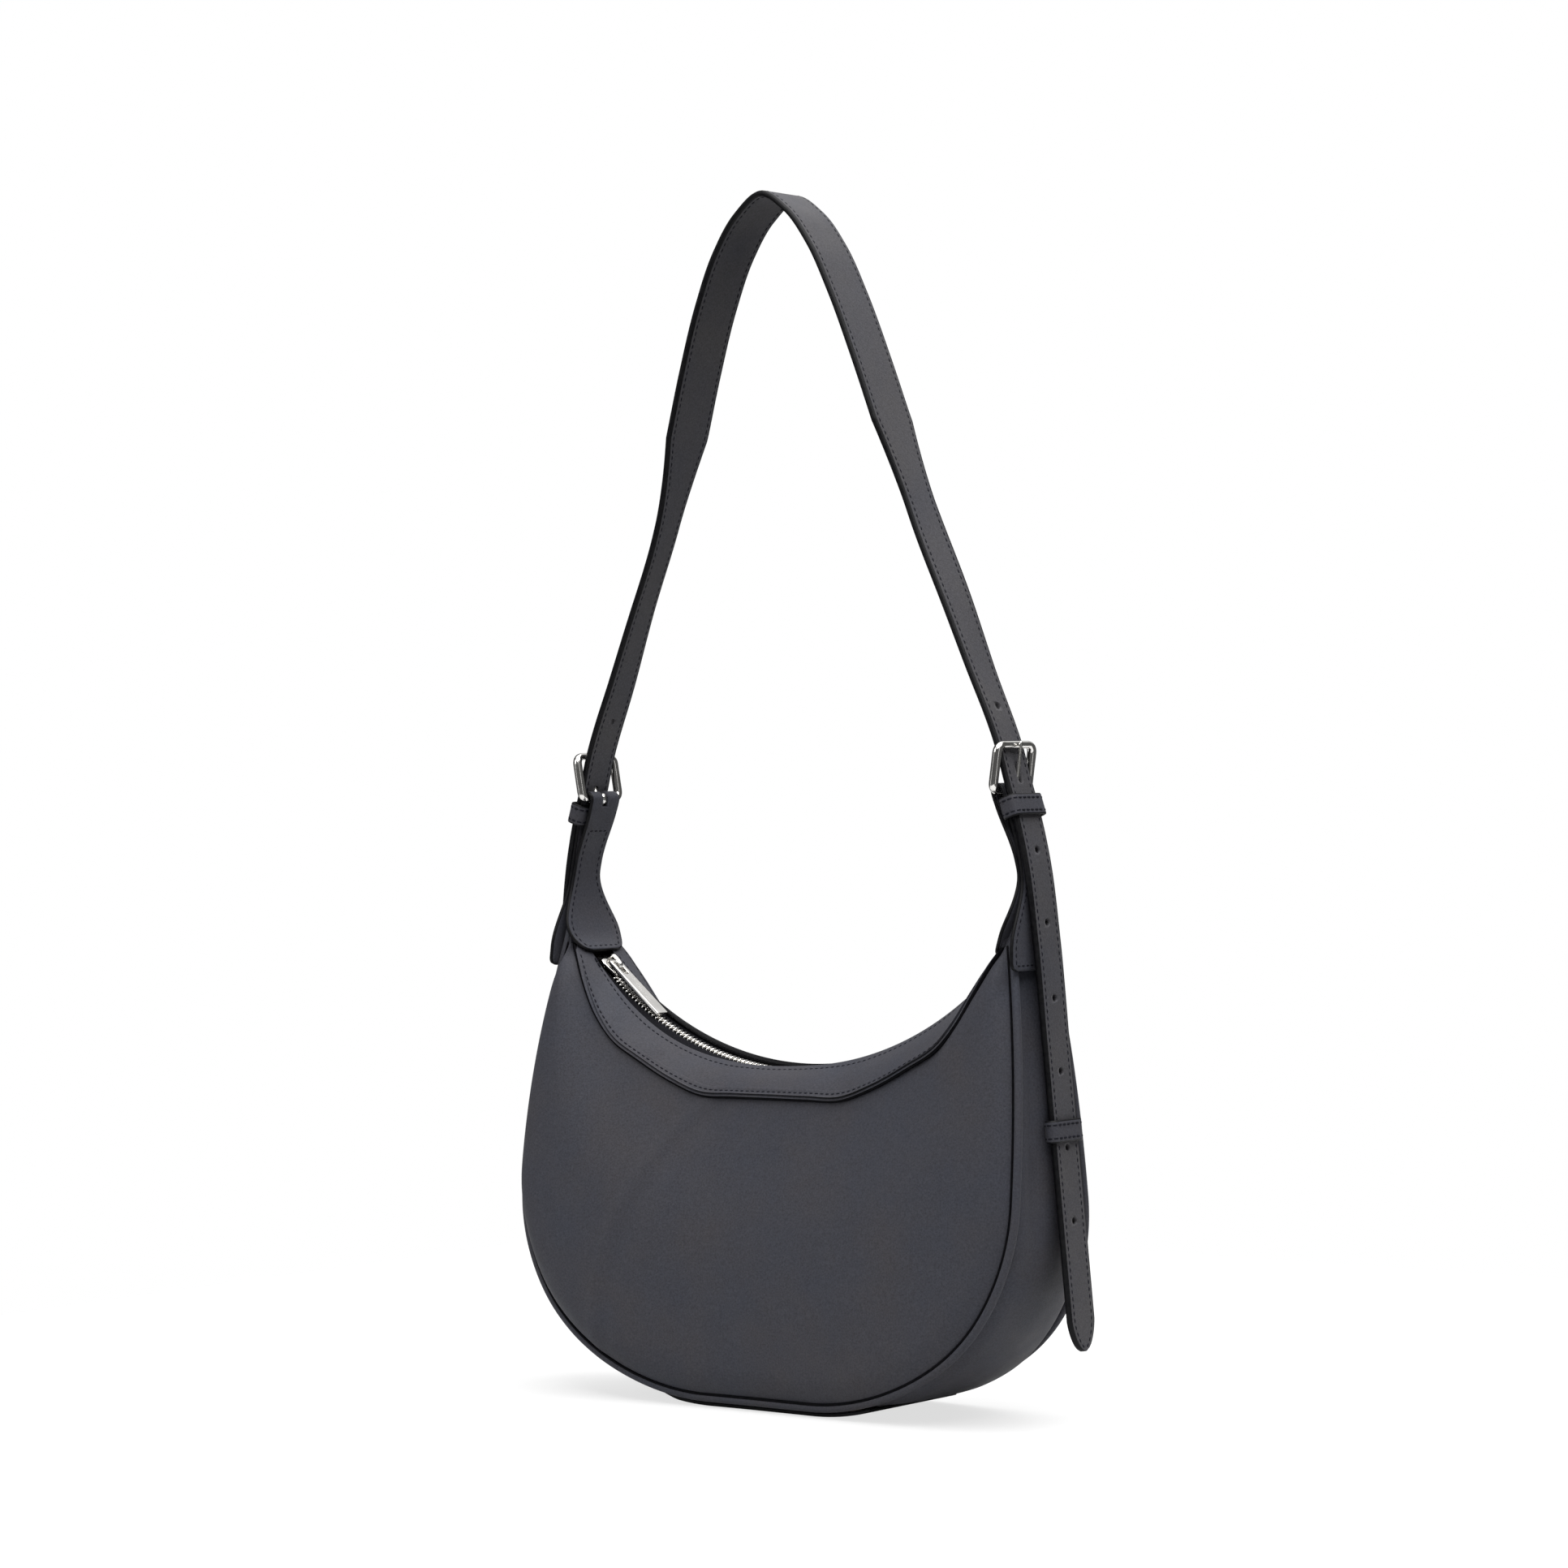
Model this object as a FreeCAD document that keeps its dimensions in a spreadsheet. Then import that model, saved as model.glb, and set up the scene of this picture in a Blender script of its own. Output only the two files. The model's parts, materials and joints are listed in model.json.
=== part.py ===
import FreeCAD, Part
import math
import os
import Sketcher

# Half moon shoulder bag. X is the width, Y the depth with the front at minus Y, Z is up.
# The origin is at the middle of the flat base. Lengths are millimetres, angles degrees.

Vector = FreeCAD.Vector
Rotation = FreeCAD.Rotation
Placement = FreeCAD.Placement

doc = FreeCAD.newDocument("half_moon_bag")
sheet = doc.addObject("Spreadsheet::Sheet", "sizes")

SIZES = [
    # Body outline, seen from the front
    ("body_half_width", 151.0),
    ("base_flat_half", 31.0),
    ("base_half_length", 66.0),
    ("widest_height", 105.0),
    ("horn_height", 228.0),
    ("horn_lean", 12.5),
    # Body depth, seen from the side
    ("base_half_depth", 40.0),
    ("depth_start_height", 15.0),
    ("horn_half_depth", 15.5),
    ("panel_bulge", 3.0),
    # Leather and its seams
    ("panel_thick", 1.8),
    ("sewn_gap", 0.25),
    ("piping_radius", 2.0),
    ("piping_proud", 0.8),
    ("lining_thick", 0.8),
    ("board_thick", 1.6),
    # Yoke, the band between the panel and the zip
    ("seam_height", 149.5),
    ("seam_half_depth", 24.0),
    ("seam_end_half_depth", 13.0),
    ("seam_end_inset", 4.0),
    ("seam_end_drop", 4.5),
    ("yoke_bulge", 1.5),
    # Zip, on one arc from horn to horn
    ("zip_mid_height", 163.4),
    ("zip_end_inset", 7.9),
    ("zip_end_drop", 8.5),
    ("zip_window_half", 7.0),
    ("tape_thick", 0.7),
    ("tape_depth", 3.6),
    ("tape_overlap", 1.2),
    ("tooth_pitch", 2.6),
    ("tooth_gap", 0.2),
    ("tooth_height", 3.1),
    ("tooth_foot", 3.6),
    ("tooth_reach", 1.0),
    ("slider_from_end", 13.0),
    ("slider_length", 12.0),
    ("slider_half_width", 5.0),
    ("slider_plate", 1.4),
    ("slider_clearance", 0.4),
    ("bridge_length", 10.0),
    ("bridge_width", 2.4),
    ("bridge_bar", 1.6),
    ("bridge_gap", 3.6),
    ("pull_length", 41.0),
    ("pull_width", 7.6),
    ("pull_thick", 2.2),
    ("pull_slot_length", 8.6),
    ("pull_slot_width", 3.6),
    # Tabs that hold the buckles
    ("tab_thick", 1.8),
    ("tab_waist_rise", 34.0),
    ("tab_waist_half", 9.8),
    ("tab_fold_half", 10.5),
    ("tab_inner_half", 20.0),
    ("tab_inner_length", 9.5),
    ("tab_outer_half", 17.0),
    ("tab_outer_drop", 17.0),
    ("prong_slot_half", 2.3),
    # Buckles
    ("heel_bar_inset", 10.5),
    ("heel_bar_rise", 66.0),
    ("buckle_pitch", 21.8),
    ("buckle_lean", 9.5),
    ("buckle_bar", 3.5),
    ("buckle_half_width", 13.6),
    ("buckle_corner", 4.0),
    ("bar_clearance", 0.3),
    ("prong_width", 3.0),
    ("prong_thick", 2.2),
    ("prong_ring", 1.2),
    # Strap
    ("strap_thick", 3.0),
    ("strap_glue_gap", 0.1),
    ("strap_wide_half", 15.0),
    ("strap_narrow_half", 10.0),
    ("strap_top_rise", 291.0),
    ("strap_lean", 3.0),
    ("shoulder_low_rise", 136.0),
    ("shoulder_high_rise", 177.0),
    ("tail_top_drop", 3.0),
    ("tail_top_out", 8.8),
    ("tail_tip_height", 36.0),
    ("tail_tip_out", 25.1),
    ("tail_point_length", 14.0),
    ("strap_hole", 4.0),
    ("strap_hole_pitch", 34.5),
    ("prong_hole_length", 26.0),
    # Keepers
    ("keeper_height", 10.5),
    ("keeper_wall", 1.5),
    ("keeper_clearance", 0.5),
    ("keeper_corner", 1.0),
    ("fixed_keeper_drop", 9.2),
    ("floating_keeper_height", 137.0),
    # One overrun for every cut
    ("cut_overrun", 2.0),
]
for row, (alias, value) in enumerate(SIZES, start=1):
    sheet.set("A%d" % row, alias)
    sheet.set("B%d" % row, str(value))
    sheet.setAlias("B%d" % row, alias)
doc.recompute()


def size(alias):
    """The value of one named size."""
    return float(sheet.get(alias))


# Shares of the yoke seam from the middle to the horn: along its half length and up its rise
SEAM_SHARES = [(0.0, 0.0), (0.17, 0.0), (0.32, 0.005), (0.46, 0.085), (0.62, 0.22), (0.745, 0.345),
               (0.83, 0.505), (0.90, 0.705), (0.955, 0.88), (1.0, 1.0)]
# Shares of the strap's arch from the buckle to the top: of the heel bar's place and of the rise
ARCH_SHARES = [(0.873, 0.203), (0.774, 0.309), (0.641, 0.443), (0.570, 0.526), (0.501, 0.612),
               (0.421, 0.715), (0.323, 0.827), (0.227, 0.911), (0.121, 0.969)]
LEAN_SHARE = 0.6
DEPTH_POWER = 1.5
LEAN_POWER = 1.7
SHELL_END_SHARE = 0.965
LINING_SIDE_SHARE = 0.8
LINING_LOW_SHARE = 0.06
LINING_HIGH_SHARE = 0.96
POCKET_SIDE_SHARE = 0.22
POCKET_LOW_SHARE = 0.25
POCKET_HIGH_SHARE = 0.75
BOARD_SHARE = 0.9
PIPING_RISE_SHARE = 0.3
TAB_FLAT_SHARE = 0.6
TAB_BEND_SHARE = 0.4
TAB_TIP_SHARE = 0.5
TAB_END_SHARE = 0.75
TIP_SHARE = 0.12
# Counts
TAIL_HOLES = 6
STOP_TEETH = 4
RING_STEPS = 8
STRIP_STEPS = 3
TAB_LEG_STEPS = 3
BEND_STEPS = 6
FOLD_STEPS = 8
TAB_STEPS = 150
TAIL_STEPS = 4
STRAP_STEPS = 90
QUARTER_TURN = 90
STEPS_ALONG = 36
STEPS_ACROSS = 6

# Places that follow from the sizes
horn_x = size("body_half_width") - size("horn_lean")
zip_end_x = horn_x - size("zip_end_inset")
zip_end_z = size("horn_height") - size("zip_end_drop")
zip_rise = zip_end_z - size("zip_mid_height")
zip_radius = (zip_end_x ** 2 + zip_rise ** 2) / (2 * zip_rise)
zip_centre_z = size("zip_mid_height") + zip_radius
zip_end_angle = math.degrees(math.atan2(zip_end_x, zip_centre_z - zip_end_z))
seam_end_x = horn_x - size("seam_end_inset")
seam_end_z = size("horn_height") - size("seam_end_drop")
heel_x = horn_x - size("heel_bar_inset")
heel_z = size("horn_height") + size("heel_bar_rise")
bar_radius = size("buckle_bar") / 2
leather = size("panel_thick")
gap = size("sewn_gap")


def smooth(value):
    """A soft step from 0 to 1."""
    value = min(1.0, max(0.0, value))
    return value * value * (3 - 2 * value)


def along(points, share):
    """The point at a share of the length of a polyline of (a, b) pairs."""
    lengths = [math.dist(p, q) for p, q in zip(points, points[1:])]
    target = share * sum(lengths)
    for (p, q), length in zip(zip(points, points[1:]), lengths):
        if target <= length or q is points[-1]:
            part = target / length
            return (p[0] + (q[0] - p[0]) * part, p[1] + (q[1] - p[1]) * part)
        target -= length


def half_depth(height):
    """Half the body's depth at a height."""
    reach = size("horn_height") - size("depth_start_height")
    share = max(0.0, (height - size("depth_start_height")) / reach)
    narrowing = size("base_half_depth") - size("horn_half_depth")
    return size("base_half_depth") - narrowing * share ** DEPTH_POWER


def outline_points():
    """Half the body's outline, from the middle of the base to the horn."""
    flat = size("base_flat_half")
    wide = size("body_half_width")
    level = size("widest_height")
    points = [(0.0, 0.0)]
    for step in range(STEPS_ALONG * 2 + 1):
        angle = math.pi / 2 * step / (STEPS_ALONG * 2)
        points.append((flat + (wide - flat) * math.sin(angle), level * (1 - math.cos(angle))))
    for step in range(1, STEPS_ALONG + 1):
        share = step / STEPS_ALONG
        height = level + (size("horn_height") - level) * share
        points.append((wide - size("horn_lean") * share ** 2, height))
    return points


OUTLINE = outline_points()


def outline(t, inset):
    """A point (x, z) on the outline for t from -1 to 1, moved in by inset."""
    share = abs(t)
    step = 1 / (STEPS_ALONG * 8)
    here = along(OUTLINE, share)
    before = along(OUTLINE, max(0.0, share - step))
    after = along(OUTLINE, min(1.0, share + step))
    dx = after[0] - before[0]
    dz = after[1] - before[1]
    length = math.hypot(dx, dz)
    x = here[0] - inset * dz / length
    z = here[1] + inset * dx / length
    return (math.copysign(x, t) if t else x, z)


def proud(t):
    """How far the piping stands out past the gusset: nothing under the flat base."""
    height = along(OUTLINE, abs(t))[1]
    return size("piping_proud") * smooth(height / (size("widest_height") * PIPING_RISE_SHARE))


def seam_points():
    """Half the yoke seam, rounded at its two soft corners."""
    rise = seam_end_z - size("seam_height")
    points = [Vector(seam_end_x * x, size("seam_height") + rise * z) for x, z in SEAM_SHARES]
    curve = Part.BSplineCurve()
    curve.interpolate(points)
    return [(p.x, p.y) for p in curve.discretize(STEPS_ALONG * 2)]


SEAM = seam_points()


def seam(t):
    """A point (x, y, z) on the front yoke seam for t from -1 to 1."""
    x, z = along(SEAM, abs(t))
    depth = size("seam_half_depth") - (size("seam_half_depth") - size("seam_end_half_depth")) * abs(t) ** 3
    return Vector(math.copysign(x, t), -depth, z)


def panel_point(t, v):
    """The outer face of the front panel: v runs from the piping to the yoke seam."""
    inset = 2 * size("piping_radius") - proud(t) + gap
    x, z = outline(t, inset)
    low = Vector(x, -half_depth(z), z)
    high = seam(t)
    point = low + (high - low) * v
    bow = size("panel_bulge") * math.sin(math.pi * v) * (1 - t ** 4)
    point.y = low.y + (high.y - low.y) * v ** LEAN_POWER - bow
    return point


def yoke_point(t, v):
    """The outer face of the front yoke: v runs from the seam to the zip's edge."""
    low = seam(t)
    angle = math.radians(zip_end_angle * t)
    high_z = zip_centre_z - zip_radius * math.cos(angle)
    high = Vector(zip_radius * math.sin(angle), -size("zip_window_half"), high_z)
    point = low + (high - low) * v
    bow = size("yoke_bulge") * math.sin(math.pi * v) * (1 - t ** 2)
    return point + Vector(0, -bow, bow)


def gusset_point(t, v):
    """The outer face of the side strip: v runs from front to back."""
    x, z = outline(t, 0)
    reach = half_depth(z) - 2 * size("piping_radius") - gap
    return Vector(x, reach * (2 * v - 1), z)


def face_normal(point, t, v, flip):
    """The inward direction of a face, from points beside t and v."""
    small = 1 / (STEPS_ALONG * STEPS_ACROSS)
    across = point(t, min(1, v + small)) - point(t, max(0, v - small))
    run = point(min(1, t + small), v) - point(max(-1, t - small), v)
    normal = run.cross(across)
    normal.normalize()
    return normal * flip


def closed_skin(first, second):
    """A solid between two grids of points, closed along its four sides."""
    front = Part.BSplineSurface()
    front.interpolate(first)
    back = Part.BSplineSurface()
    back.interpolate(second)
    faces = [front.toShape(), back.toShape()]
    u_low, u_high, v_low, v_high = front.bounds()
    s_low, s_high, w_low, w_high = back.bounds()
    sides = [(front.uIso(u_low), back.uIso(s_low)), (front.uIso(u_high), back.uIso(s_high)),
             (front.vIso(v_low), back.vIso(w_low)), (front.vIso(v_high), back.vIso(w_high))]
    for one, other in sides:
        faces.append(Part.makeRuledSurface(one.toShape(), other.toShape()))
    shell = Part.makeShell(faces)
    shell.sewShape()
    solid = Part.makeSolid(shell)
    if solid.Volume < 0:
        solid.reverse()
    return solid


def sheet_piece(point, t_range, v_range, depth, thick, flip):
    """A piece of leather or cloth on a face, starting depth below it."""
    outer = []
    inner = []
    for i in range(STEPS_ALONG + 1):
        t = t_range[0] + (t_range[1] - t_range[0]) * i / STEPS_ALONG
        outer_row = []
        inner_row = []
        for j in range(STEPS_ACROSS + 1):
            v = v_range[0] + (v_range[1] - v_range[0]) * j / STEPS_ACROSS
            place = point(t, v)
            normal = face_normal(point, t, v, flip)
            outer_row.append(place + normal * depth)
            inner_row.append(place + normal * (depth + thick))
        outer.append(outer_row)
        inner.append(inner_row)
    return closed_skin(outer, inner)


def feature(label, shape):
    """A sub-part whose shape is set here."""
    part = doc.addObject("Part::Feature", label)
    part.Label = label
    part.Shape = shape
    part.Placement = Placement()
    return part


def mirrored_pair(front_label, back_label, shape):
    """The front piece and its mirror image at the back."""
    feature(front_label, shape)
    feature(back_label, shape.mirror(Vector(0, 0, 0), Vector(0, 1, 0)))


# Panels, yokes and their linings
ends = (-SHELL_END_SHARE, SHELL_END_SHARE)
seam_share = gap / size("seam_half_depth")
panel = sheet_piece(panel_point, ends, (0, 1 - seam_share), 0, leather, -1)
mirrored_pair("front_panel", "back_panel", panel)
yoke_share = (leather + gap) / size("seam_half_depth")
yoke = sheet_piece(yoke_point, ends, (yoke_share, 1), 0, leather, -1)
mirrored_pair("front_yoke", "back_yoke", yoke)
lining_ends = (-LINING_SIDE_SHARE, LINING_SIDE_SHARE)
lining_reach = (LINING_LOW_SHARE, LINING_HIGH_SHARE)
lining = sheet_piece(panel_point, lining_ends, lining_reach, leather + gap, size("lining_thick"), -1)
mirrored_pair("front_lining", "back_lining", lining)
pocket_ends = (-POCKET_SIDE_SHARE, POCKET_SIDE_SHARE)
pocket_reach = (POCKET_LOW_SHARE, POCKET_HIGH_SHARE)
pocket_depth = leather + size("lining_thick") + 2 * gap
pocket = sheet_piece(panel_point, pocket_ends, pocket_reach, pocket_depth, size("lining_thick"), -1)
feature("slip_pocket", pocket.mirror(Vector(0, 0, 0), Vector(0, 1, 0)))


def base_curve(inset, end_x, side):
    """One rising end of the base, from the flat to end_x, and its tip."""
    flat = size("base_flat_half")
    across = size("body_half_width") - flat - inset
    down = size("widest_height") - inset
    angle = math.asin((end_x - flat) / across)
    points = []
    for step in range(STEPS_ACROSS + 1):
        part = angle * step / STEPS_ACROSS
        height = size("widest_height") - down * math.cos(part)
        points.append(Vector(side * (flat + across * math.sin(part)), 0, height))
    slope = Vector(side * across * math.cos(angle), 0, down * math.sin(angle))
    curve = Part.BSplineCurve()
    curve.interpolate(points, InitialTangent=Vector(side * across, 0, 0), FinalTangent=slope)
    return curve.toShape(), points[0], points[-1]


def base_piece(depth, thick, end_x, half_width):
    """A plate over the base, flat in the middle, starting depth above the outline."""
    edges = []
    tips = []
    for inset in (depth, depth + thick):
        left, left_foot, left_tip = base_curve(inset, end_x, -1)
        right, right_foot, right_tip = base_curve(inset, end_x, 1)
        edges += [left, right, Part.makeLine(left_foot, right_foot)]
        tips.append((left_tip, right_tip))
    edges += [Part.makeLine(low, high) for low, high in zip(*tips)]
    profile = Part.Face(Part.Wire(Part.__sortEdges__(edges)))
    profile.translate(Vector(0, -half_width, 0))
    return profile.extrude(Vector(0, 2 * half_width, 0))


def outline_share(x):
    """The share of the outline's length at which its lower part reaches x."""
    total = sum(math.dist(p, q) for p, q in zip(OUTLINE, OUTLINE[1:]))
    length = 0.0
    for p, q in zip(OUTLINE, OUTLINE[1:]):
        if q[0] >= x:
            return (length + math.dist(p, q) * (x - p[0]) / (q[0] - p[0])) / total
        length += math.dist(p, q)


# Base, its stiffener and the side gussets
strip_half = size("base_half_depth") - 2 * size("piping_radius") - gap
feature("base_panel", base_piece(0, leather, size("base_half_length") - gap, strip_half))
board_half = strip_half - leather
board_end = size("base_half_length") * BOARD_SHARE
feature("base_board", base_piece(leather + gap, size("board_thick"), board_end, board_half))
gusset_start = outline_share(size("base_half_length") + gap)
feature("right_gusset", sheet_piece(gusset_point, (gusset_start, SHELL_END_SHARE), (0, 1), 0, leather, 1))
feature("left_gusset", sheet_piece(gusset_point, (-SHELL_END_SHARE, -gusset_start), (0, 1), 0, leather, 1))


def piping():
    """The front piping: a round cord in the corner between panel and gusset."""
    radius = size("piping_radius")
    rings = []
    for step in range(STEPS_ALONG + 1):
        t = SHELL_END_SHARE * (2 * step / STEPS_ALONG - 1)
        x, z = outline(t, radius - proud(t))
        outer_x, outer_z = outline(t, 0)
        centre = Vector(x, radius - half_depth(outer_z), z)
        inner_x, inner_z = outline(t, radius)
        out = Vector(outer_x - inner_x, 0, outer_z - inner_z)
        out.normalize()
        ring = []
        for turn in range(RING_STEPS):
            angle = 2 * math.pi * turn / RING_STEPS
            ring.append(centre + out * (radius * math.cos(angle)) + Vector(0, radius * math.sin(angle), 0))
        curve = Part.BSplineCurve()
        curve.interpolate(ring, PeriodicFlag=True)
        rings.append(Part.Wire(curve.toShape()))
    return Part.makeLoft(rings, True)


mirrored_pair("front_piping", "back_piping", piping())


# Zip
places = doc.addObject("Spreadsheet::Sheet", "places")
PLACES = []


def place(alias, value):
    """Keeps a place that follows from the sizes, for the features to bind to."""
    PLACES.append(alias)
    row = len(PLACES)
    places.set("A%d" % row, alias)
    places.set("B%d" % row, str(value))
    places.setAlias("B%d" % row, alias)


def bind(thing, path, formula):
    """Ties a property to the named sizes and places, written in square brackets."""
    for alias, value in SIZES:
        formula = formula.replace("[%s]" % alias, "sizes.%s" % alias)
    for alias in PLACES:
        formula = formula.replace("[%s]" % alias, "places.%s" % alias)
    thing.setExpression(path, formula)


def new_body(label):
    """An empty body for one sub-part."""
    body = doc.addObject("PartDesign::Body", label)
    body.Label = label
    return body


def rectangle(body, name, role, x_low, x_high, y_low, y_high):
    """A rectangle sketch on one of the body's planes, its four sides given as formulas."""
    sketch = body.newObject("Sketcher::SketchObject", name)
    planes = [item for item in body.Origin.OriginFeatures if item.Role == role]
    sketch.AttachmentSupport = [(planes[0], "")]
    sketch.MapMode = "FlatFace"
    corners = [Vector(-1, -1, 0), Vector(1, -1, 0), Vector(1, 1, 0), Vector(-1, 1, 0)]
    for one, other in zip(corners, corners[1:] + corners[:1]):
        sketch.addGeometry(Part.LineSegment(one, other), False)
    for side in range(4):
        sketch.addConstraint(Sketcher.Constraint("Coincident", side, 2, (side + 1) % 4, 1))
    for side, kind in enumerate(("Horizontal", "Vertical", "Horizontal", "Vertical")):
        sketch.addConstraint(Sketcher.Constraint(kind, side))
    limits = [("DistanceX", 0, x_low), ("DistanceX", 1, x_high),
              ("DistanceY", 0, y_low), ("DistanceY", 2, y_high)]
    for kind, corner, formula in limits:
        number = sketch.addConstraint(Sketcher.Constraint(kind, -1, 1, corner, 1, 1.0))
        bind(sketch, "Constraints[%d]" % number, formula)
    return sketch


def disc(body, name, role, radius):
    """A circle sketch about the body's origin, its radius given as a formula."""
    sketch = body.newObject("Sketcher::SketchObject", name)
    planes = [item for item in body.Origin.OriginFeatures if item.Role == role]
    sketch.AttachmentSupport = [(planes[0], "")]
    sketch.MapMode = "FlatFace"
    sketch.addGeometry(Part.Circle(Vector(0, 0, 0), Vector(0, 0, 1), 1), False)
    sketch.addConstraint(Sketcher.Constraint("Coincident", 0, 3, -1, 1))
    number = sketch.addConstraint(Sketcher.Constraint("Radius", 0, 1.0))
    bind(sketch, "Constraints[%d]" % number, radius)
    return sketch


def pad(body, name, sketch, length):
    """A pad with the sketch in its middle."""
    piece = body.newObject("PartDesign::Pad", name)
    piece.Profile = sketch
    piece.Midplane = True
    bind(piece, "Length", length)
    return piece


def through_pocket(body, name, sketch):
    """A pocket through all, both ways."""
    piece = body.newObject("PartDesign::Pocket", name)
    piece.Profile = sketch
    piece.Midplane = True
    piece.Type = "ThroughAll"
    return piece


place("zip_radius", zip_radius)
place("zip_angle", zip_end_angle)
doc.recompute()
FRONT = -1
BACK = 1
chain_radius = zip_radius + size("tape_depth") + size("tape_thick") / 2
zip_placement = Placement(Vector(0, 0, zip_centre_z), Rotation())


def zip_tape(label, side):
    """One tape: a band turned about the zip arc's axis."""
    body = new_body(label)
    far = "%d * ([zip_window_half] + [tape_overlap])" % side
    near = "%d * ([tooth_foot] + [tooth_gap])" % side
    low = "-([zip_radius] + [tape_depth] + [tape_thick])"
    high = "-([zip_radius] + [tape_depth])"
    across = (far, near) if side == FRONT else (near, far)
    sketch = rectangle(body, label + "_section", "YZ_Plane", across[0], across[1], low, high)
    turn = body.newObject("PartDesign::Revolution", label + "_turn")
    turn.Profile = sketch
    turn.ReferenceAxis = (sketch, ["H_Axis"])
    turn.Midplane = True
    bind(turn, "Angle", "2 * [zip_angle]")
    body.Placement = zip_placement
    return body


zip_tape("zip_tape_front", FRONT)
zip_tape("zip_tape_back", BACK)


def on_chain(block, angle):
    """Turns a block made below the arc's centre to its angle along the zip."""
    block.Placement = Placement(Vector(0, 0, zip_centre_z), Rotation(Vector(0, -1, 0), angle))
    return block


def chain_block(length, y_low, y_high, height, angle):
    """A block on the chain: length along it, height across the tape's thickness."""
    corner = Vector(-length / 2, y_low, -chain_radius - height / 2)
    return on_chain(Part.makeBox(length, y_high - y_low, height, corner), angle)


slider_angle = size("slider_from_end") / zip_radius * 180 / math.pi - zip_end_angle
pitch_angle = size("tooth_pitch") / zip_radius * 180 / math.pi
tooth_width = size("tooth_pitch") / 2 - size("tooth_gap")
tooth_count = int((zip_end_angle - slider_angle) / pitch_angle) - STOP_TEETH


def zip_teeth(side):
    """The teeth of one side, each its own block clamped at the tape's edge."""
    blocks = []
    for number in range(tooth_count):
        angle = slider_angle + pitch_angle * (number + (1 if side == FRONT else 1.5))
        edges = sorted((side * size("tooth_foot"), -side * size("tooth_reach")))
        blocks.append(chain_block(tooth_width, edges[0], edges[1], size("tooth_height"), angle))
    return Part.makeCompound(blocks)


feature("zip_teeth_front", zip_teeth(FRONT))
feature("zip_teeth_back", zip_teeth(BACK))


def zip_stops():
    """Two top stops beside the tapes at the closed end and one bottom stop across the other."""
    length = size("tooth_pitch")
    foot = size("tooth_foot")
    reach = size("tooth_reach")
    top_angle = pitch_angle * STOP_TEETH / 2 - zip_end_angle
    bottom_angle = zip_end_angle - pitch_angle * STOP_TEETH / 2
    stops = [chain_block(length, -foot, -reach, size("tooth_height"), top_angle),
             chain_block(length, reach, foot, size("tooth_height"), top_angle),
             chain_block(length, -foot, foot, size("tooth_height"), bottom_angle)]
    return Part.makeCompound(stops)


feature("zip_stops", zip_stops())


def box(label, x_range, y_range, z_range):
    """A Part box between formulas along each axis."""
    block = doc.addObject("Part::Box", label)
    spans = (("x", "Length", x_range), ("y", "Width", y_range), ("z", "Height", z_range))
    for axis, side, (low, high) in spans:
        bind(block, side, "(%s) - (%s)" % (high, low))
        bind(block, "Placement.Base." + axis, low)
    return block


def mirror_formula(low, high):
    """The same span on the other side of zero."""
    return ("-(%s)" % high, "-(%s)" % low)


def zip_slider():
    """The slider: two plates joined by a wedge, flanges over the tapes and the bridge for the pull."""
    inside = "([tooth_height] / 2 + [slider_clearance])"
    outside = "(%s + [slider_plate])" % inside
    slot = "([tape_thick] / 2 + [slider_clearance])"
    half = ("-[slider_length] / 2", "[slider_length] / 2")
    wide = ("-[slider_half_width]", "[slider_half_width]")
    flange = ("[tooth_foot] + [slider_clearance]", "[slider_half_width]")
    blocks = []
    for name, turn in (("upper", lambda low, high: (low, high)), ("lower", mirror_formula)):
        blocks.append(box("slider_plate_" + name, half, wide, turn(inside, outside)))
        for hand, side in (("front", mirror_formula(*flange)), ("back", flange)):
            blocks.append(box("slider_flange_%s_%s" % (name, hand), half, side, turn(slot, outside)))
    wedge = ("-[slider_length] / 2", "-[slider_length] / 4")
    reach = ("-[tooth_reach]", "[tooth_reach]")
    blocks.append(box("slider_wedge", wedge, reach, ("-" + outside, outside)))
    bridge_top = "(%s + [bridge_gap] + [bridge_bar])" % outside
    rib = ("-[bridge_width] / 2", "[bridge_width] / 2")
    span = ("-[bridge_length] / 2", "[bridge_length] / 2")
    post = ("[bridge_length] / 2 - [bridge_bar]", "[bridge_length] / 2")
    blocks.append(box("slider_bridge", span, rib, ("%s - [bridge_bar]" % bridge_top, bridge_top)))
    blocks.append(box("slider_post_low", post, rib, (inside, bridge_top)))
    blocks.append(box("slider_post_high", mirror_formula(*post), rib, (inside, bridge_top)))
    slider = doc.addObject("Part::MultiFuse", "zip_slider")
    slider.Label = "zip_slider"
    slider.Shapes = blocks
    slider.Refine = True
    return slider


angle = math.radians(slider_angle)
slider_spot = Vector(chain_radius * math.sin(angle), 0, zip_centre_z - chain_radius * math.cos(angle))
slider_turn = Rotation(Vector(0, -1, 0), slider_angle)
slider = zip_slider()
slider.Placement = Placement(slider_spot, slider_turn)

# The pull hangs under the bridge by its end bar and lies on the chain
plate_top = size("tooth_height") / 2 + size("slider_clearance") + size("slider_plate")
pivot_height = plate_top + size("bridge_gap") / 2
pivot_radius = chain_radius - pivot_height
rest_radius = chain_radius - size("tooth_height") / 2 - size("slider_clearance") - size("pull_thick") / 2
pull_reach = size("pull_length") - size("pull_thick") / 2
pull_lift = math.asin((pivot_radius ** 2 + pull_reach ** 2 - rest_radius ** 2)
                      / (2 * pivot_radius * pull_reach))
pull_spot = slider_spot + slider_turn.multVec(Vector(0, 0, pivot_height))


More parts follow.
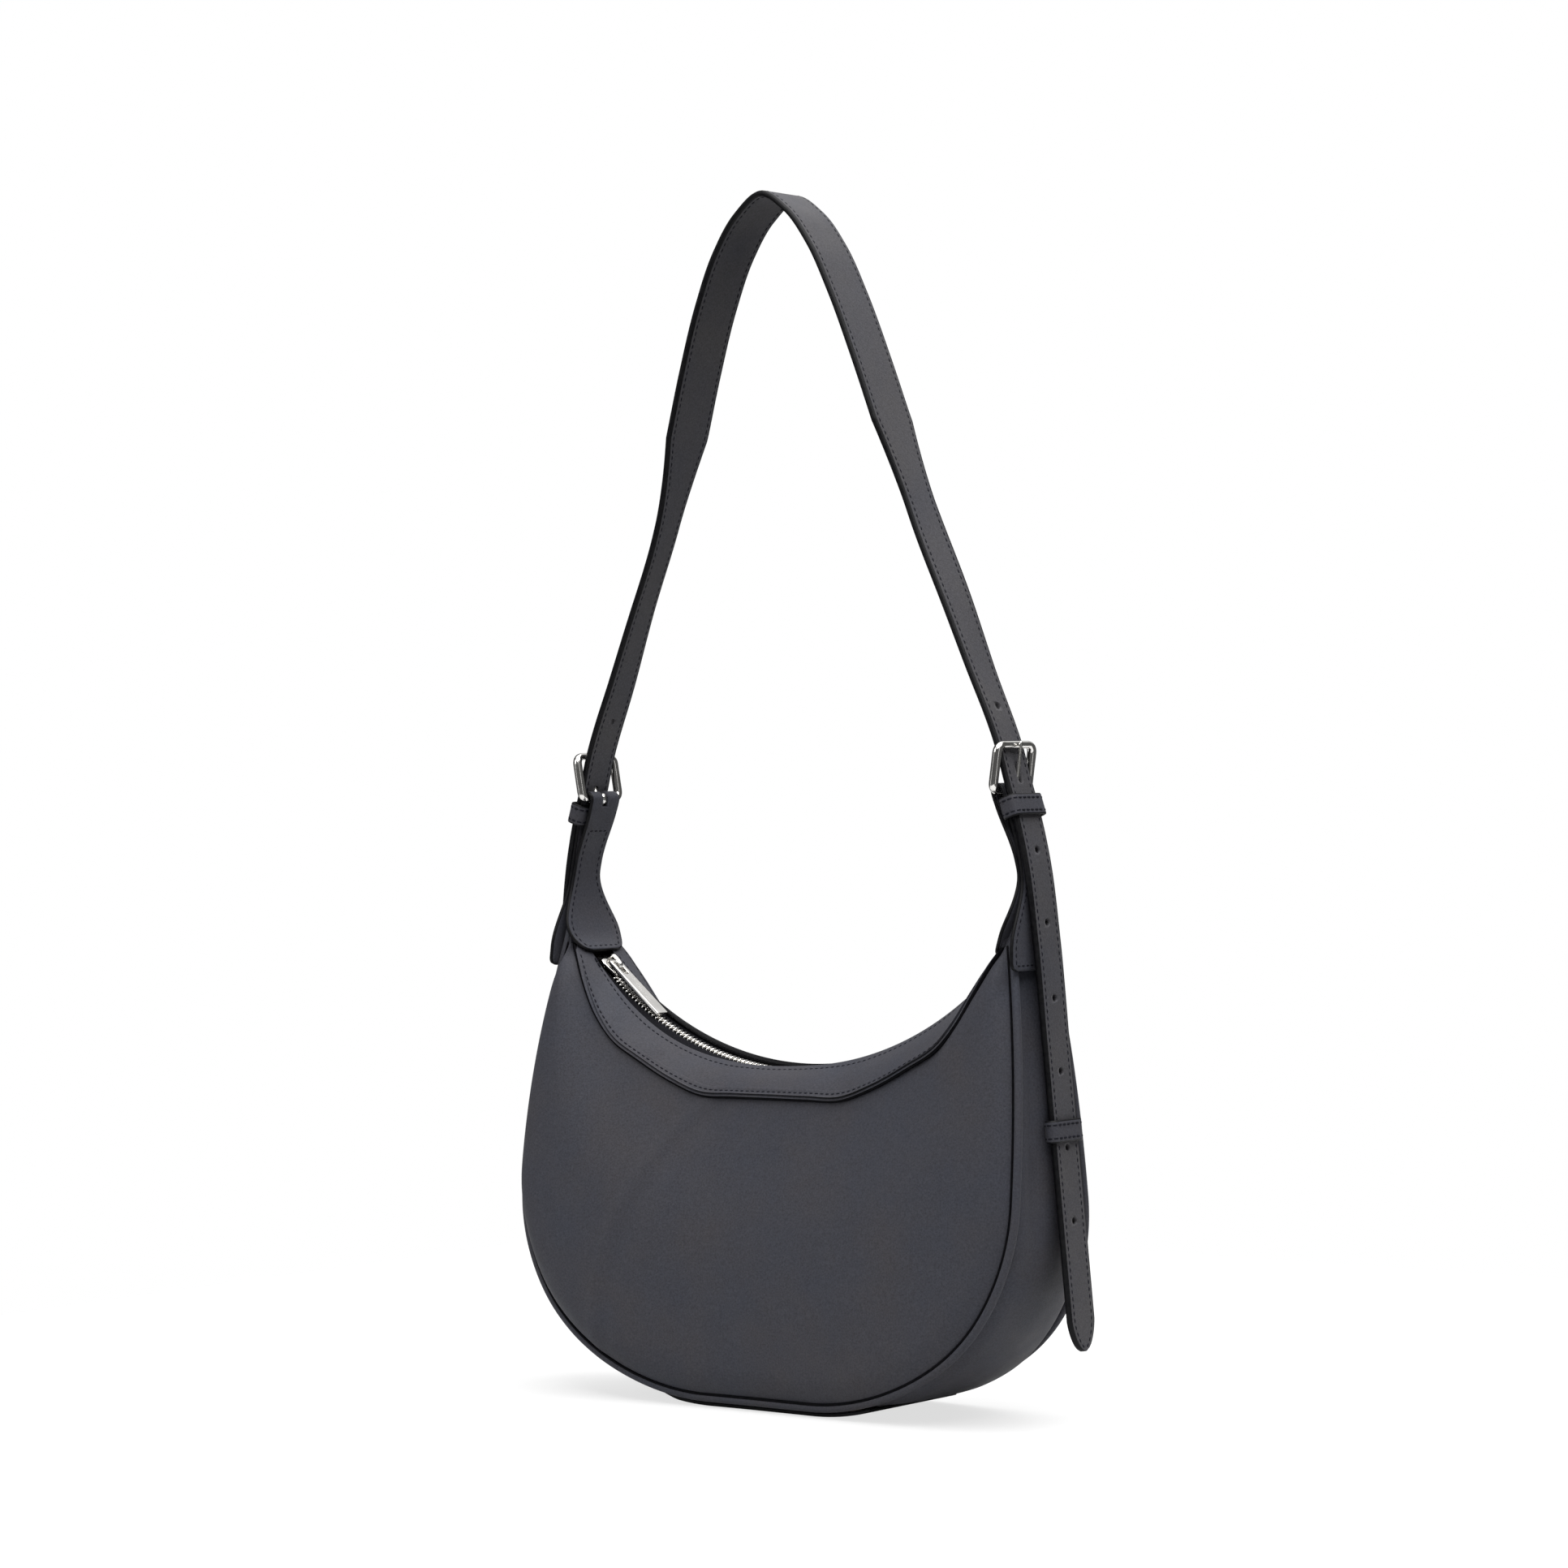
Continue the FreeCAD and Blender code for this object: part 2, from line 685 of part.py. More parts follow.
def zip_pull():
    """The flat bar pull with its slot, its end bar at the origin."""
    body = new_body("zip_pull")
    wide = ("-[pull_width] / 2", "[pull_width] / 2")
    end = "[pull_length] - [pull_thick] / 2"
    blank = rectangle(body, "pull_outline", "XY_Plane", "-[pull_thick] / 2", end, *wide)
    pad(body, "pull_blank", blank, "[pull_thick]")
    slot_wide = ("-[pull_slot_width] / 2", "[pull_slot_width] / 2")
    start = "[pull_thick] / 2"
    slot_end = "[pull_thick] / 2 + [pull_slot_length]"
    slot = rectangle(body, "pull_slot", "XY_Plane", start, slot_end, *slot_wide)
    pocket = through_pocket(body, "pull_opening", slot)
    doc.recompute()
    beside_slot = size("pull_slot_width") / 2 + size("tooth_gap")
    upright = []
    for number, edge in enumerate(pocket.Shape.Edges):
        if abs(edge.tangentAt(0).z) > 1 / 2 and abs(edge.CenterOfMass.y) > beside_slot:
            upright.append("Edge%d" % (number + 1))
    corners = body.newObject("PartDesign::Fillet", "pull_corners")
    corners.Base = (pocket, upright)
    bind(corners, "Radius", "[pull_thick] / 2")
    return body


pull = zip_pull()
pull_turn = slider_turn.multiply(Rotation(Vector(0, -1, 0), math.degrees(pull_lift)))
pull.Placement = Placement(pull_spot, pull_turn)

# Lines of the tabs, buckles and strap on the right side, in X and Z
waist = Vector(horn_x, 0, size("horn_height") + size("tab_waist_rise"))
heel = Vector(heel_x, 0, heel_z)
up_tab = heel - waist
up_tab.normalize()
out_tab = Vector(up_tab.z, 0, -up_tab.x)
lean = math.radians(size("buckle_lean"))
up_frame = Vector(math.sin(lean), 0, math.cos(lean))
out_frame = Vector(up_frame.z, 0, -up_frame.x)
top_bar = heel + up_frame * size("buckle_pitch")
fold_radius = bar_radius + size("bar_clearance") + size("tab_thick") / 2
leg_half = (size("tab_thick") + size("bar_clearance")) / 2
HALF_TURN = Placement(Vector(0, 0, 0), Rotation(Vector(0, 0, 1), 180))


def curve_samples(points, lengths):
    """Points at the given lengths along a smooth line through points, and its whole length."""
    curve = Part.BSplineCurve()
    curve.interpolate(points)
    edge = curve.toShape()
    if lengths is None:
        return edge.Length
    return [edge.valueAt(edge.getParameterByLength(min(length, edge.Length))) for length in lengths]


def strip_solid(samples, half_widths, low, high):
    """A strip along samples in the XZ plane, between two offsets from that line."""
    first = []
    second = []
    for number, (spot, half) in enumerate(zip(samples, half_widths)):
        before = samples[max(0, number - 1)]
        after = samples[min(len(samples) - 1, number + 1)]
        run = after - before
        run.normalize()
        out = Vector(run.z, 0, -run.x)
        rows = [Vector(0, half * (2 * step / STRIP_STEPS - 1), 0) for step in range(STRIP_STEPS + 1)]
        first.append([spot + out * low + row for row in rows])
        second.append([spot + out * high + row for row in rows])
    return closed_skin(first, second)


def tab_line():
    """The tab's middle line: inner leg, fold over the heel bar, outer leg."""
    points = []
    end_angle = math.radians(zip_end_angle)
    run = Vector(math.cos(end_angle), 0, math.sin(end_angle))
    lift = Vector(-run.z, 0, run.x) * (2 * gap + size("tab_thick") / 2)
    start = Vector(zip_end_x, 0, zip_end_z) + lift - run * (2 * size("tab_thick"))
    for step in range(TAB_LEG_STEPS):
        points.append(start + run * (size("tab_inner_length") * TAB_FLAT_SHARE * step / TAB_LEG_STEPS))
    leg_end = start + run * (size("tab_inner_length") * TAB_FLAT_SHARE)
    inner_waist = waist - out_tab * leg_half
    bend_room = inner_waist.x - leg_end.x
    controls = [leg_end, leg_end + run * bend_room,
                inner_waist - up_tab * (inner_waist.z - leg_end.z) * TAB_BEND_SHARE, inner_waist]
    bend = Part.BezierCurve()
    bend.setPoles(controls)
    points.extend(bend.value(step / BEND_STEPS) for step in range(BEND_STEPS + 1))
    points.append(heel - out_tab * fold_radius - up_tab * (2 * fold_radius))
    for step in range(FOLD_STEPS + 1):
        angle = math.pi * step / FOLD_STEPS
        fold = up_tab * math.sin(angle) - out_tab * math.cos(angle)
        points.append(heel + fold * fold_radius)
    points.append(heel + out_tab * fold_radius - up_tab * (2 * fold_radius))
    points.append(waist + out_tab * leg_half)
    end_z = size("horn_height") - size("tab_outer_drop")
    share = (end_z - size("widest_height")) / (size("horn_height") - size("widest_height"))
    end_x = size("body_half_width") - size("horn_lean") * share ** 2
    points.append(Vector(end_x + size("piping_proud") + gap + size("tab_thick") / 2, 0, end_z))
    return points


TAB_LINE = tab_line()
tab_length = curve_samples(TAB_LINE, None)
tab_steps = [tab_length * step / TAB_STEPS for step in range(TAB_STEPS + 1)]
TAB_SAMPLES = curve_samples(TAB_LINE, tab_steps)


def tab_half_width(length):
    """Half the tab's width: round inner end, waist, fold and wide outer end."""
    inner = size("tab_inner_half")
    outer = size("tab_outer_half")
    waist_half = size("tab_waist_half")
    neck = size("tab_waist_rise")
    from_end = tab_length - length
    if length < from_end:
        round_end = math.sqrt(max(0.0, 1 - (1 - min(1.0, length / inner)) ** 2))
        wide = inner * (TAB_TIP_SHARE + (1 - TAB_TIP_SHARE) * round_end)
        half = wide + (waist_half - wide) * smooth((length - size("tab_inner_length")) / neck)
    else:
        round_end = math.sqrt(max(0.0, 1 - (1 - min(1.0, 2 * from_end / outer)) ** 2))
        wide = outer * (TAB_END_SHARE + (1 - TAB_END_SHARE) * round_end)
        half = wide + (waist_half - wide) * smooth((from_end - outer / 2) / neck)
    middle = 1 - abs(length - from_end) / (2 * size("heel_bar_rise") - 2 * neck)
    return half + (size("tab_fold_half") - waist_half) * smooth(middle)


def tab():
    """The right tab, with the slot that the prong swings in."""
    widths = [tab_half_width(length) for length in tab_steps]
    half = size("tab_thick") / 2
    leather_fold = strip_solid(TAB_SAMPLES, widths, -half, half)
    reach = fold_radius + size("cut_overrun")
    slot = Part.makeBox(2 * reach, 2 * size("prong_slot_half"), 2 * reach,
                        Vector(-reach, -size("prong_slot_half"), -reach - fold_radius / 2))
    slot.Placement = Placement(heel, Rotation(out_tab, Vector(0, 1, 0), up_tab, "ZXY"))
    return leather_fold.cut(slot)


right_tab = tab()
feature("right_tab", right_tab)
feature("left_tab", right_tab.mirror(Vector(0, 0, 0), Vector(1, 0, 0)))


def strap_side():
    """The strap's middle line on the right, from the tail's tip up to the last point before the top."""
    tip = Vector(horn_x + size("tail_tip_out"), 0, size("tail_tip_height"))
    tail_top = Vector(horn_x + size("tail_top_out"), 0, size("horn_height") - size("tail_top_drop"))
    points = [tip + (tail_top - tip) * (step / TAIL_STEPS) for step in range(TAIL_STEPS + 1)]
    over_tab = size("tab_thick") / 2 + gap + size("strap_thick") / 2
    spare = size("strap_glue_gap") * 2
    points.append(waist + out_tab * (leg_half + over_tab + spare))
    over_heel = fold_radius + over_tab + spare
    points.append(heel + out_tab * over_heel - up_tab * (size("fixed_keeper_drop") / 2))
    points.append(heel + out_tab * over_heel)
    under_top = bar_radius + size("bar_clearance") + size("strap_thick") / 2 + spare
    points.append(top_bar - out_tab * under_top)
    for x_share, z_share in ARCH_SHARES:
        points.append(Vector(heel_x * x_share, 0, heel_z + size("strap_top_rise") * z_share))
    return points


def leaned(point):
    """Moves a point of the arch by the strap's slight lean to the left."""
    rise = (point.z - heel_z) / size("strap_top_rise")
    return point - Vector(size("strap_lean") * smooth(rise / LEAN_SHARE), 0, 0)


RIGHT_SIDE = strap_side()
LEFT_SIDE = [Vector(-point.x, 0, point.z) for point in RIGHT_SIDE]
strap_top = Vector(0, 0, heel_z + size("strap_top_rise"))
STRAP_LINE = [leaned(point) for point in LEFT_SIDE + [strap_top] + RIGHT_SIDE[::-1]]
strap_length = curve_samples(STRAP_LINE, None)


STEPS = [strap_length * step / STRAP_STEPS for step in range(STRAP_STEPS + 1)]
STRAP_SAMPLES = curve_samples(STRAP_LINE, STEPS)


def smooth_edge(points):
    """A smooth edge through points."""
    curve = Part.BSplineCurve()
    curve.interpolate(points)
    return curve.toShape()


def strap_profile(low, high):
    """The strap's thickness seen from the front, as a face between two offsets from its middle line."""
    sides = ([], [])
    for number, spot in enumerate(STRAP_SAMPLES):
        before = STRAP_SAMPLES[max(0, number - 1)]
        after = STRAP_SAMPLES[min(STRAP_STEPS, number + 1)]
        run = after - before
        run.normalize()
        out = Vector(run.z, 0, -run.x)
        for side, offset in zip(sides, (low, high)):
            side.append(spot + out * offset)
    first, second = sides
    edges = [smooth_edge(first), Part.makeLine(first[-1], second[-1]), smooth_edge(second),
             Part.makeLine(second[0], first[0])]
    return Part.Face(Part.Wire(Part.__sortEdges__(edges)))


def strap_outline():
    """The strap's width seen from the side: wide shoulder, narrow sides, pointed tails."""
    wide = size("strap_wide_half")
    narrow = size("strap_narrow_half")
    low = heel_z + size("shoulder_low_rise")
    high = heel_z + size("shoulder_high_rise")
    top = heel_z + size("strap_top_rise") + size("strap_thick") + size("cut_overrun")
    tip_z = size("tail_tip_height") - size("strap_thick") / 2
    point_z = tip_z + size("tail_point_length")
    tip = narrow * TIP_SHARE
    edges = []
    for side in (-1, 1):
        taper = []
        for step in range(STEPS_ACROSS + 1):
            share = step / STEPS_ACROSS
            half = narrow + (wide - narrow) * smooth(share)
            taper.append(Vector(0, side * half, low + (high - low) * share))
        edges.append(smooth_edge(taper))
        edges.append(Part.makeLine(taper[-1], Vector(0, side * wide, top)))
        edges.append(Part.makeLine(taper[0], Vector(0, side * narrow, point_z)))
        edges.append(Part.makeLine(Vector(0, side * narrow, point_z), Vector(0, side * tip, tip_z)))
    edges.append(Part.makeLine(Vector(0, -wide, top), Vector(0, wide, top)))
    edges.append(Part.makeLine(Vector(0, -tip, tip_z), Vector(0, tip, tip_z)))
    return Part.Face(Part.Wire(Part.__sortEdges__(edges)))


def prong_length():
    """The length along the strap at which the right prong's line goes through it."""
    prong_line = bar_radius + size("bar_clearance") + size("prong_thick") / 2
    stride = size("strap_hole")
    lengths = [strap_length - stride * step for step in range(int(strap_length / stride))]
    before = None
    for length, spot in zip(lengths, curve_samples(STRAP_LINE, lengths)):
        offset = (spot - heel).dot(out_frame) - prong_line
        if spot.z > heel_z and offset < 0:
            return length + stride * offset / (offset - before)
        before = offset


def strap_holes():
    """Round holes at one pitch along both sides, and the longer one that each prong goes through."""
    cutters = []
    reach = size("strap_thick") + size("cut_overrun")
    first = prong_length()
    for side in (1, -1):
        for number in range(-1, TAIL_HOLES + 1):
            length = first + number * size("strap_hole_pitch")
            length = length if side == 1 else strap_length - length
            around = [length - size("strap_hole"), length, length + size("strap_hole")]
            before, spot, after = curve_samples(STRAP_LINE, around)
            run = after - before
            run.normalize()
            out = Vector(run.z, 0, -run.x)
            if number:
                cutters.append(Part.makeCylinder(size("strap_hole") / 2, 2 * reach, spot - out * reach, out))
                continue
            long_hole = Part.makeBox(size("prong_hole_length"), size("strap_hole"), 2 * reach,
                                     Vector(-size("prong_hole_length") / 2, -size("strap_hole") / 2, -reach))
            long_hole.Placement = Placement(spot, Rotation(run, Vector(0, 1, 0), out, "ZXY"))
            cutters.append(long_hole)
    return cutters


def strap_layer(low, high):
    """One of the strap's two sewn layers, with its holes."""
    wide = size("strap_wide_half") + size("cut_overrun")
    profile = strap_profile(low, high)
    profile.translate(Vector(0, -wide, 0))
    reach = horn_x + size("tail_tip_out") + size("strap_thick") + size("cut_overrun")
    outline_face = strap_outline()
    outline_face.translate(Vector(-reach, 0, 0))
    band = profile.extrude(Vector(0, 2 * wide, 0)).common(outline_face.extrude(Vector(2 * reach, 0, 0)))
    return band.cut(strap_holes()).Solids[0]


strap_half = size("strap_thick") / 2
glue_half = size("strap_glue_gap") / 2
feature("strap_lining", strap_layer(glue_half, strap_half))
feature("strap_outer", strap_layer(-strap_half, -glue_half))


def both_sides(name, make, spot, rotation):
    """The right piece at its place, and the same piece turned half round for the left."""
    for side, turn in (("right", Placement()), ("left", HALF_TURN)):
        piece = make(side + "_" + name)
        piece.Placement = turn.multiply(Placement(spot, rotation))


def ring_body(label, x_range, half_y, height, wall, corner):
    """A rectangular loop of one wall: padded, cut through and rounded at its outer corners."""
    body = new_body(label)
    outer = rectangle(body, label + "_outer", "XY_Plane", "(%s) - (%s)" % (x_range[0], wall),
                      "(%s) + (%s)" % (x_range[1], wall), "-(%s) - (%s)" % (half_y, wall),
                      "(%s) + (%s)" % (half_y, wall))
    pad(body, label + "_pad", outer, height)
    inner = rectangle(body, label + "_inner", "XY_Plane", x_range[0], x_range[1], "-(%s)" % half_y, half_y)
    opening = through_pocket(body, label + "_opening", inner)
    doc.recompute()
    box_limit = opening.Shape.BoundBox
    upright = []
    for number, edge in enumerate(opening.Shape.Edges, start=1):
        far = box_limit.YMax - abs(edge.CenterOfMass.y)
        if abs(edge.tangentAt(edge.FirstParameter).z) > 1 / 2 and far < size("tooth_gap"):
            upright.append("Edge%d" % number)
    corners = body.newObject("PartDesign::Fillet", label + "_corners")
    corners.Base = (opening, upright)
    bind(corners, "Radius", corner)
    return body


def reach_along(samples, centre, out, up, half_height):
    """The lowest and highest offset of a line's points near a place."""
    near = [spot for spot in samples if abs((spot - centre).dot(up)) < half_height * 2 and spot.x > 0]
    offsets = [(spot - centre).dot(out) for spot in near]
    return min(offsets), max(offsets)


# Keepers
keeper_spot = heel - up_tab * size("fixed_keeper_drop")
keeper_turn = Rotation(out_tab, Vector(0, 1, 0), up_tab, "ZXY")
outer_leg = [spot for spot in TAB_SAMPLES if (spot - heel).dot(out_tab) > 0]
leg_low, leg_high = reach_along(outer_leg, keeper_spot, out_tab, up_tab, size("keeper_height") / 2)
fine_steps = [strap_length * step / (STRAP_STEPS * 4) for step in range(STRAP_STEPS * 4 + 1)]
FINE_STRAP = curve_samples(STRAP_LINE, fine_steps)
strap_low, strap_high = reach_along(FINE_STRAP, keeper_spot, out_tab, up_tab, size("keeper_height") / 2)
place("keeper_low", leg_low - size("tab_thick") / 2)
place("keeper_high", strap_high + strap_half)
tail_run = RIGHT_SIDE[TAIL_STEPS] - RIGHT_SIDE[0]
tail_share = (size("floating_keeper_height") - size("tail_tip_height")) / tail_run.z
floating_spot = RIGHT_SIDE[0] + tail_run * tail_share
tail_run.normalize()
out_tail = Vector(tail_run.z, 0, -tail_run.x)
floating_turn = Rotation(out_tail, Vector(0, 1, 0), tail_run, "ZXY")
doc.recompute()


def fixed_keeper(label):
    """The keeper below the buckle, sewn in between the tab's legs, round its outer leg and the strap."""
    span = ("[keeper_low] - [keeper_clearance]", "[keeper_high] + [keeper_clearance]")
    half_y = "[tab_fold_half] + [keeper_clearance]"
    return ring_body(label, span, half_y, "[keeper_height]", "[keeper_wall]", "[keeper_corner]")


def floating_keeper(label):
    """The loose keeper round the tail alone."""
    span = ("-[strap_thick] / 2 - [keeper_clearance]", "[strap_thick] / 2 + [keeper_clearance]")
    half_y = "[strap_narrow_half] + [keeper_clearance]"
    return ring_body(label, span, half_y, "[keeper_height]", "[keeper_wall]", "[keeper_corner]")


both_sides("fixed_keeper", fixed_keeper, keeper_spot, keeper_turn)
both_sides("floating_keeper", floating_keeper, floating_spot, floating_turn)

# Buckles and prongs: X runs up the frame, Z points away from the bag
frame_turn = Rotation(up_frame, Vector(0, -1, 0), out_frame, "ZXY")


def bar(label, radius, length, base, rotation):
    """A Part cylinder along one axis from a base given as formulas."""
    cylinder = doc.addObject("Part::Cylinder", label)
    bind(cylinder, "Radius", radius)
    bind(cylinder, "Height", length)
    cylinder.Placement = Placement(Vector(0, 0, 0), rotation)
    for axis, formula in zip("xyz", base):
        bind(cylinder, "Placement.Base." + axis, formula)
    return cylinder


def bend(label, base, turn):
    """A quarter of a torus about a corner's centre, its start turned about Z."""
    corner = doc.addObject("Part::Torus", label)
    bind(corner, "Radius1", "[buckle_corner]")
    bind(corner, "Radius2", "[buckle_bar] / 2")
    corner.Angle3 = QUARTER_TURN
    corner.Placement = Placement(Vector(0, 0, 0), Rotation(Vector(0, 0, 1), turn))
    for axis, formula in zip("xyz", base):
        bind(corner, "Placement.Base." + axis, formula)
    return corner


def buckle(label):
    """The buckle frame: round bars from the heel bar to the top bar, joined by bent corners."""
    along_x = Rotation(Vector(0, 1, 0), QUARTER_TURN)
    along_y = Rotation(Vector(1, 0, 0), -QUARTER_TURN)
    inner = "([buckle_half_width] - [buckle_corner])"
    end = "([buckle_pitch] - [buckle_corner])"
    thick = "[buckle_bar] / 2"
    pieces = [bar(label + "_heel", thick, "2 * " + inner, ("0", "-" + inner, "0"), along_y),
              bar(label + "_top", thick, "2 * " + inner, ("[buckle_pitch]", "-" + inner, "0"), along_y)]
    for name, y in (("front", "-[buckle_half_width]"), ("back", "[buckle_half_width]")):
        spot = ("[buckle_corner]", y, "0")
        pieces.append(bar(label + "_side_" + name, thick, end + " - [buckle_corner]", spot, along_x))
    corners = [(end, inner, 0), ("[buckle_corner]", inner, 1), ("[buckle_corner]", "-" + inner, 2),
               (end, "-" + inner, 3)]
    for x, y, turns in corners:
        pieces.append(bend("%s_corner_%d" % (label, turns), (x, y, "0"), QUARTER_TURN * turns))
    frame = doc.addObject("Part::MultiFuse", label)
    frame.Label = label
    frame.Shapes = pieces
    return frame


def prong(label):
    """The prong: a ring round the heel bar and a flat tongue that ends over the top bar."""
    body = new_body(label)
    ring = "([buckle_bar] / 2 + [bar_clearance] + [prong_ring])"
    low = "[buckle_bar] / 2 + [bar_clearance]"
    collar = disc(body, label + "_collar", "XZ_Plane", ring)
    pad(body, label + "_collar_pad", collar, "[prong_width]")
    tongue = rectangle(body, label + "_tongue", "XZ_Plane", "0", "[buckle_pitch] + [buckle_bar] / 2", low,
                       low + " + [prong_thick]")
    pad(body, label + "_tongue_pad", tongue, "[prong_width]")
    bore = disc(body, label + "_bore", "XZ_Plane", low)
    through_pocket(body, label + "_bore_cut", bore)
    return body


both_sides("buckle", buckle, heel, frame_turn)
both_sides("prong", prong, heel, frame_turn)

doc.recompute()

NODES = ["front_panel", "back_panel", "left_gusset", "right_gusset", "base_panel", "base_board", "front_yoke",
         "back_yoke", "front_piping", "back_piping", "front_lining", "back_lining", "slip_pocket",
         "zip_tape_front", "zip_tape_back", "zip_teeth_front", "zip_teeth_back", "zip_stops", "zip_slider",
         "zip_pull", "left_tab", "right_tab", "left_fixed_keeper", "right_fixed_keeper",
         "left_floating_keeper", "right_floating_keeper", "left_buckle", "right_buckle", "left_prong",
         "right_prong", "strap_outer", "strap_lining"]
for item in doc.Objects:
    if "Invalid" in item.State or "Error" in item.State:
        raise RuntimeError("%s failed: %s" % (item.Label, item.State))
pieces = [doc.getObjectsByLabel(node)[0] for node in NODES]
for piece in pieces:
    if piece.Shape.isNull() or not piece.Shape.isValid():
        raise RuntimeError("%s has no valid shape" % piece.Label)
os.makedirs("parts", exist_ok=True)
for piece in pieces:
    piece.Shape.exportStep("parts/%s.step" % piece.Label)
    print(piece.Label, len(piece.Shape.Solids), round(piece.Shape.Volume, 1))

# The joints' places, for the record
print("zip axis height", zip_centre_z, "chain end angle", zip_end_angle, "slider angle", slider_angle)
print("pull pivot", pull_spot)
print("heel bar", heel, "top bar", top_bar)
print("floating keeper", floating_spot, "tail direction", tail_run)
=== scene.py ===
"""A half moon shoulder bag of dark nubuck leather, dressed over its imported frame. Lengths are in metres."""
import json
import math
from functools import partial

import bmesh
import bpy
import numpy as np
from mathutils import Matrix, Vector, noise


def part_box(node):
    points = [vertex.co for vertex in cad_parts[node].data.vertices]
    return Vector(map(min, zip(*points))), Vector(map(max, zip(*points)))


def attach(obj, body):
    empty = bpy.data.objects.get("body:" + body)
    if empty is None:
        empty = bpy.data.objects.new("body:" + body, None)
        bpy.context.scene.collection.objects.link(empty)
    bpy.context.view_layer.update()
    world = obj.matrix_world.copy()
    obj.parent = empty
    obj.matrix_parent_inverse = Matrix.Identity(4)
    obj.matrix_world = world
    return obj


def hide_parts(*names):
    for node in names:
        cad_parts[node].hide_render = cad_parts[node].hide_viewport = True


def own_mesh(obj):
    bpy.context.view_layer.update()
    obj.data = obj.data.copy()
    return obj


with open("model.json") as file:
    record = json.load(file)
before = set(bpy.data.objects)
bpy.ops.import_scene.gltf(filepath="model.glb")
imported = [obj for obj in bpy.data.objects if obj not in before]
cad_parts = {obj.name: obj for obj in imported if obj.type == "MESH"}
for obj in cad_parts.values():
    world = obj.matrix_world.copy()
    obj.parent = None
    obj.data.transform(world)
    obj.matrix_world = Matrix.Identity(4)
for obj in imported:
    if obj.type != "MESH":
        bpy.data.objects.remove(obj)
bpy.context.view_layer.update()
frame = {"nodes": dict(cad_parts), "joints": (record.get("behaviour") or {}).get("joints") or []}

# Body
BODY_HALF_WIDTH = 0.151
BASE_FLAT_HALF = 0.031
BASE_HALF_LENGTH = 0.066
WIDEST_HEIGHT = 0.105
HORN_HEIGHT = 0.228
HORN_LEAN = 0.0125
BASE_HALF_DEPTH = 0.040
DEPTH_START_HEIGHT = 0.015
HORN_HALF_DEPTH = 0.0155
DEPTH_POWER = 1.5
LEAN_POWER = 1.7
PANEL_BULGE = 0.003
PANEL_THICK = 0.0018
SEWN_GAP = 0.00025
PIPING_RADIUS = 0.0020
PIPING_PROUD = 0.0008
SHELL_END_SHARE = 0.985
# Yoke and its seam
SEAM_HEIGHT = 0.1495
SEAM_HALF_DEPTH = 0.024
SEAM_END_HALF_DEPTH = 0.013
SEAM_END_INSET = 0.004
SEAM_END_DROP = 0.0045
SEAM_DEPTH_POWER = 7
SEAM_SHARES = [(0.0, 0.0), (0.17, 0.0), (0.32, 0.005), (0.46, 0.085), (0.62, 0.22), (0.745, 0.345),
               (0.83, 0.505), (0.90, 0.705), (0.955, 0.88), (1.0, 1.0)]
YOKE_BULGE = 0.0015
YOKE_LAP = 0.0004
# Zip
ZIP_MID_HEIGHT = 0.1634
ZIP_END_INSET = 0.0079
ZIP_END_DROP = 0.0085
ZIP_WINDOW_HALF = 0.007
TAPE_DEPTH = 0.0036
TAPE_THICK = 0.0007
TOOTH_PITCH = 0.0026
TOOTH_HEIGHT = 0.0031
TOOTH_FOOT = 0.0036
TOOTH_REACH = 0.0010
# Tabs, buckles and strap
TAB_THICK = 0.0018
TAB_WAIST_RISE = 0.034
TAB_WAIST_HALF = 0.0098
TAB_FOLD_HALF = 0.0105
TAB_INNER_HALF = 0.020
TAB_INNER_LENGTH = 0.0095
TAB_OUTER_HALF = 0.019
TAB_OUTER_DROP = 0.017
TAB_OUTER_SHIFT = 0.0045
TAB_OUTER_CORNER = 0.004
BUCKLE_PITCH = 0.0218
BUCKLE_LEAN = math.radians(9.5)
BUCKLE_BAR = 0.0035
BUCKLE_HALF_WIDTH = 0.0136
BUCKLE_CORNER = 0.004
BAR_CLEARANCE = 0.0003
STRAP_THICK = 0.003
GLUE_GAP = 0.0001
STRAP_WIDE_HALF = 0.015
STRAP_NARROW_HALF = 0.010
STRAP_TOP_RISE = 0.291
STRAP_LEAN = 0.0045
SHOULDER_LOW_RISE = 0.136
SHOULDER_HIGH_RISE = 0.177
TAIL_TOP_DROP = 0.003
TAIL_TOP_OUT = 0.0088
TAIL_TIP_HEIGHT = 0.036
TAIL_TIP_OUT = 0.0251
TAIL_POINT_LENGTH = 0.014
STRAP_HOLE_PITCH = 0.0345
FIXED_KEEPER_DROP = 0.0092
KEEPER_HEIGHT = 0.0105
KEEPER_WALL = 0.0015
KEEPER_CLEARANCE = 0.0005
ARCH_SHARES = [(0.873, 0.203), (0.774, 0.309), (0.641, 0.443), (0.570, 0.526), (0.501, 0.612),
               (0.421, 0.715), (0.323, 0.827), (0.227, 0.911), (0.121, 0.969)]
LEAN_START = 0.38
LEAN_SHARE = 0.55
TAIL_STEPS = 4

joints = {joint["name"]: joint for joint in frame["joints"]}
BODY = "bag_body"
ACROSS = Vector((0, 1, 0))
BACK_SIDE = Matrix.Diagonal((1, -1, 1, 1))
LEFT_SIDE = Matrix.Diagonal((-1, 1, 1, 1))
SIDES = (("front", -1, None), ("back", 1, BACK_SIDE))
HANDS = (("right", None), ("left", LEFT_SIDE))


def outward(up):
    """The direction square to up that looks to the right, seen from the front."""
    return Vector((up.z, 0, -up.x))


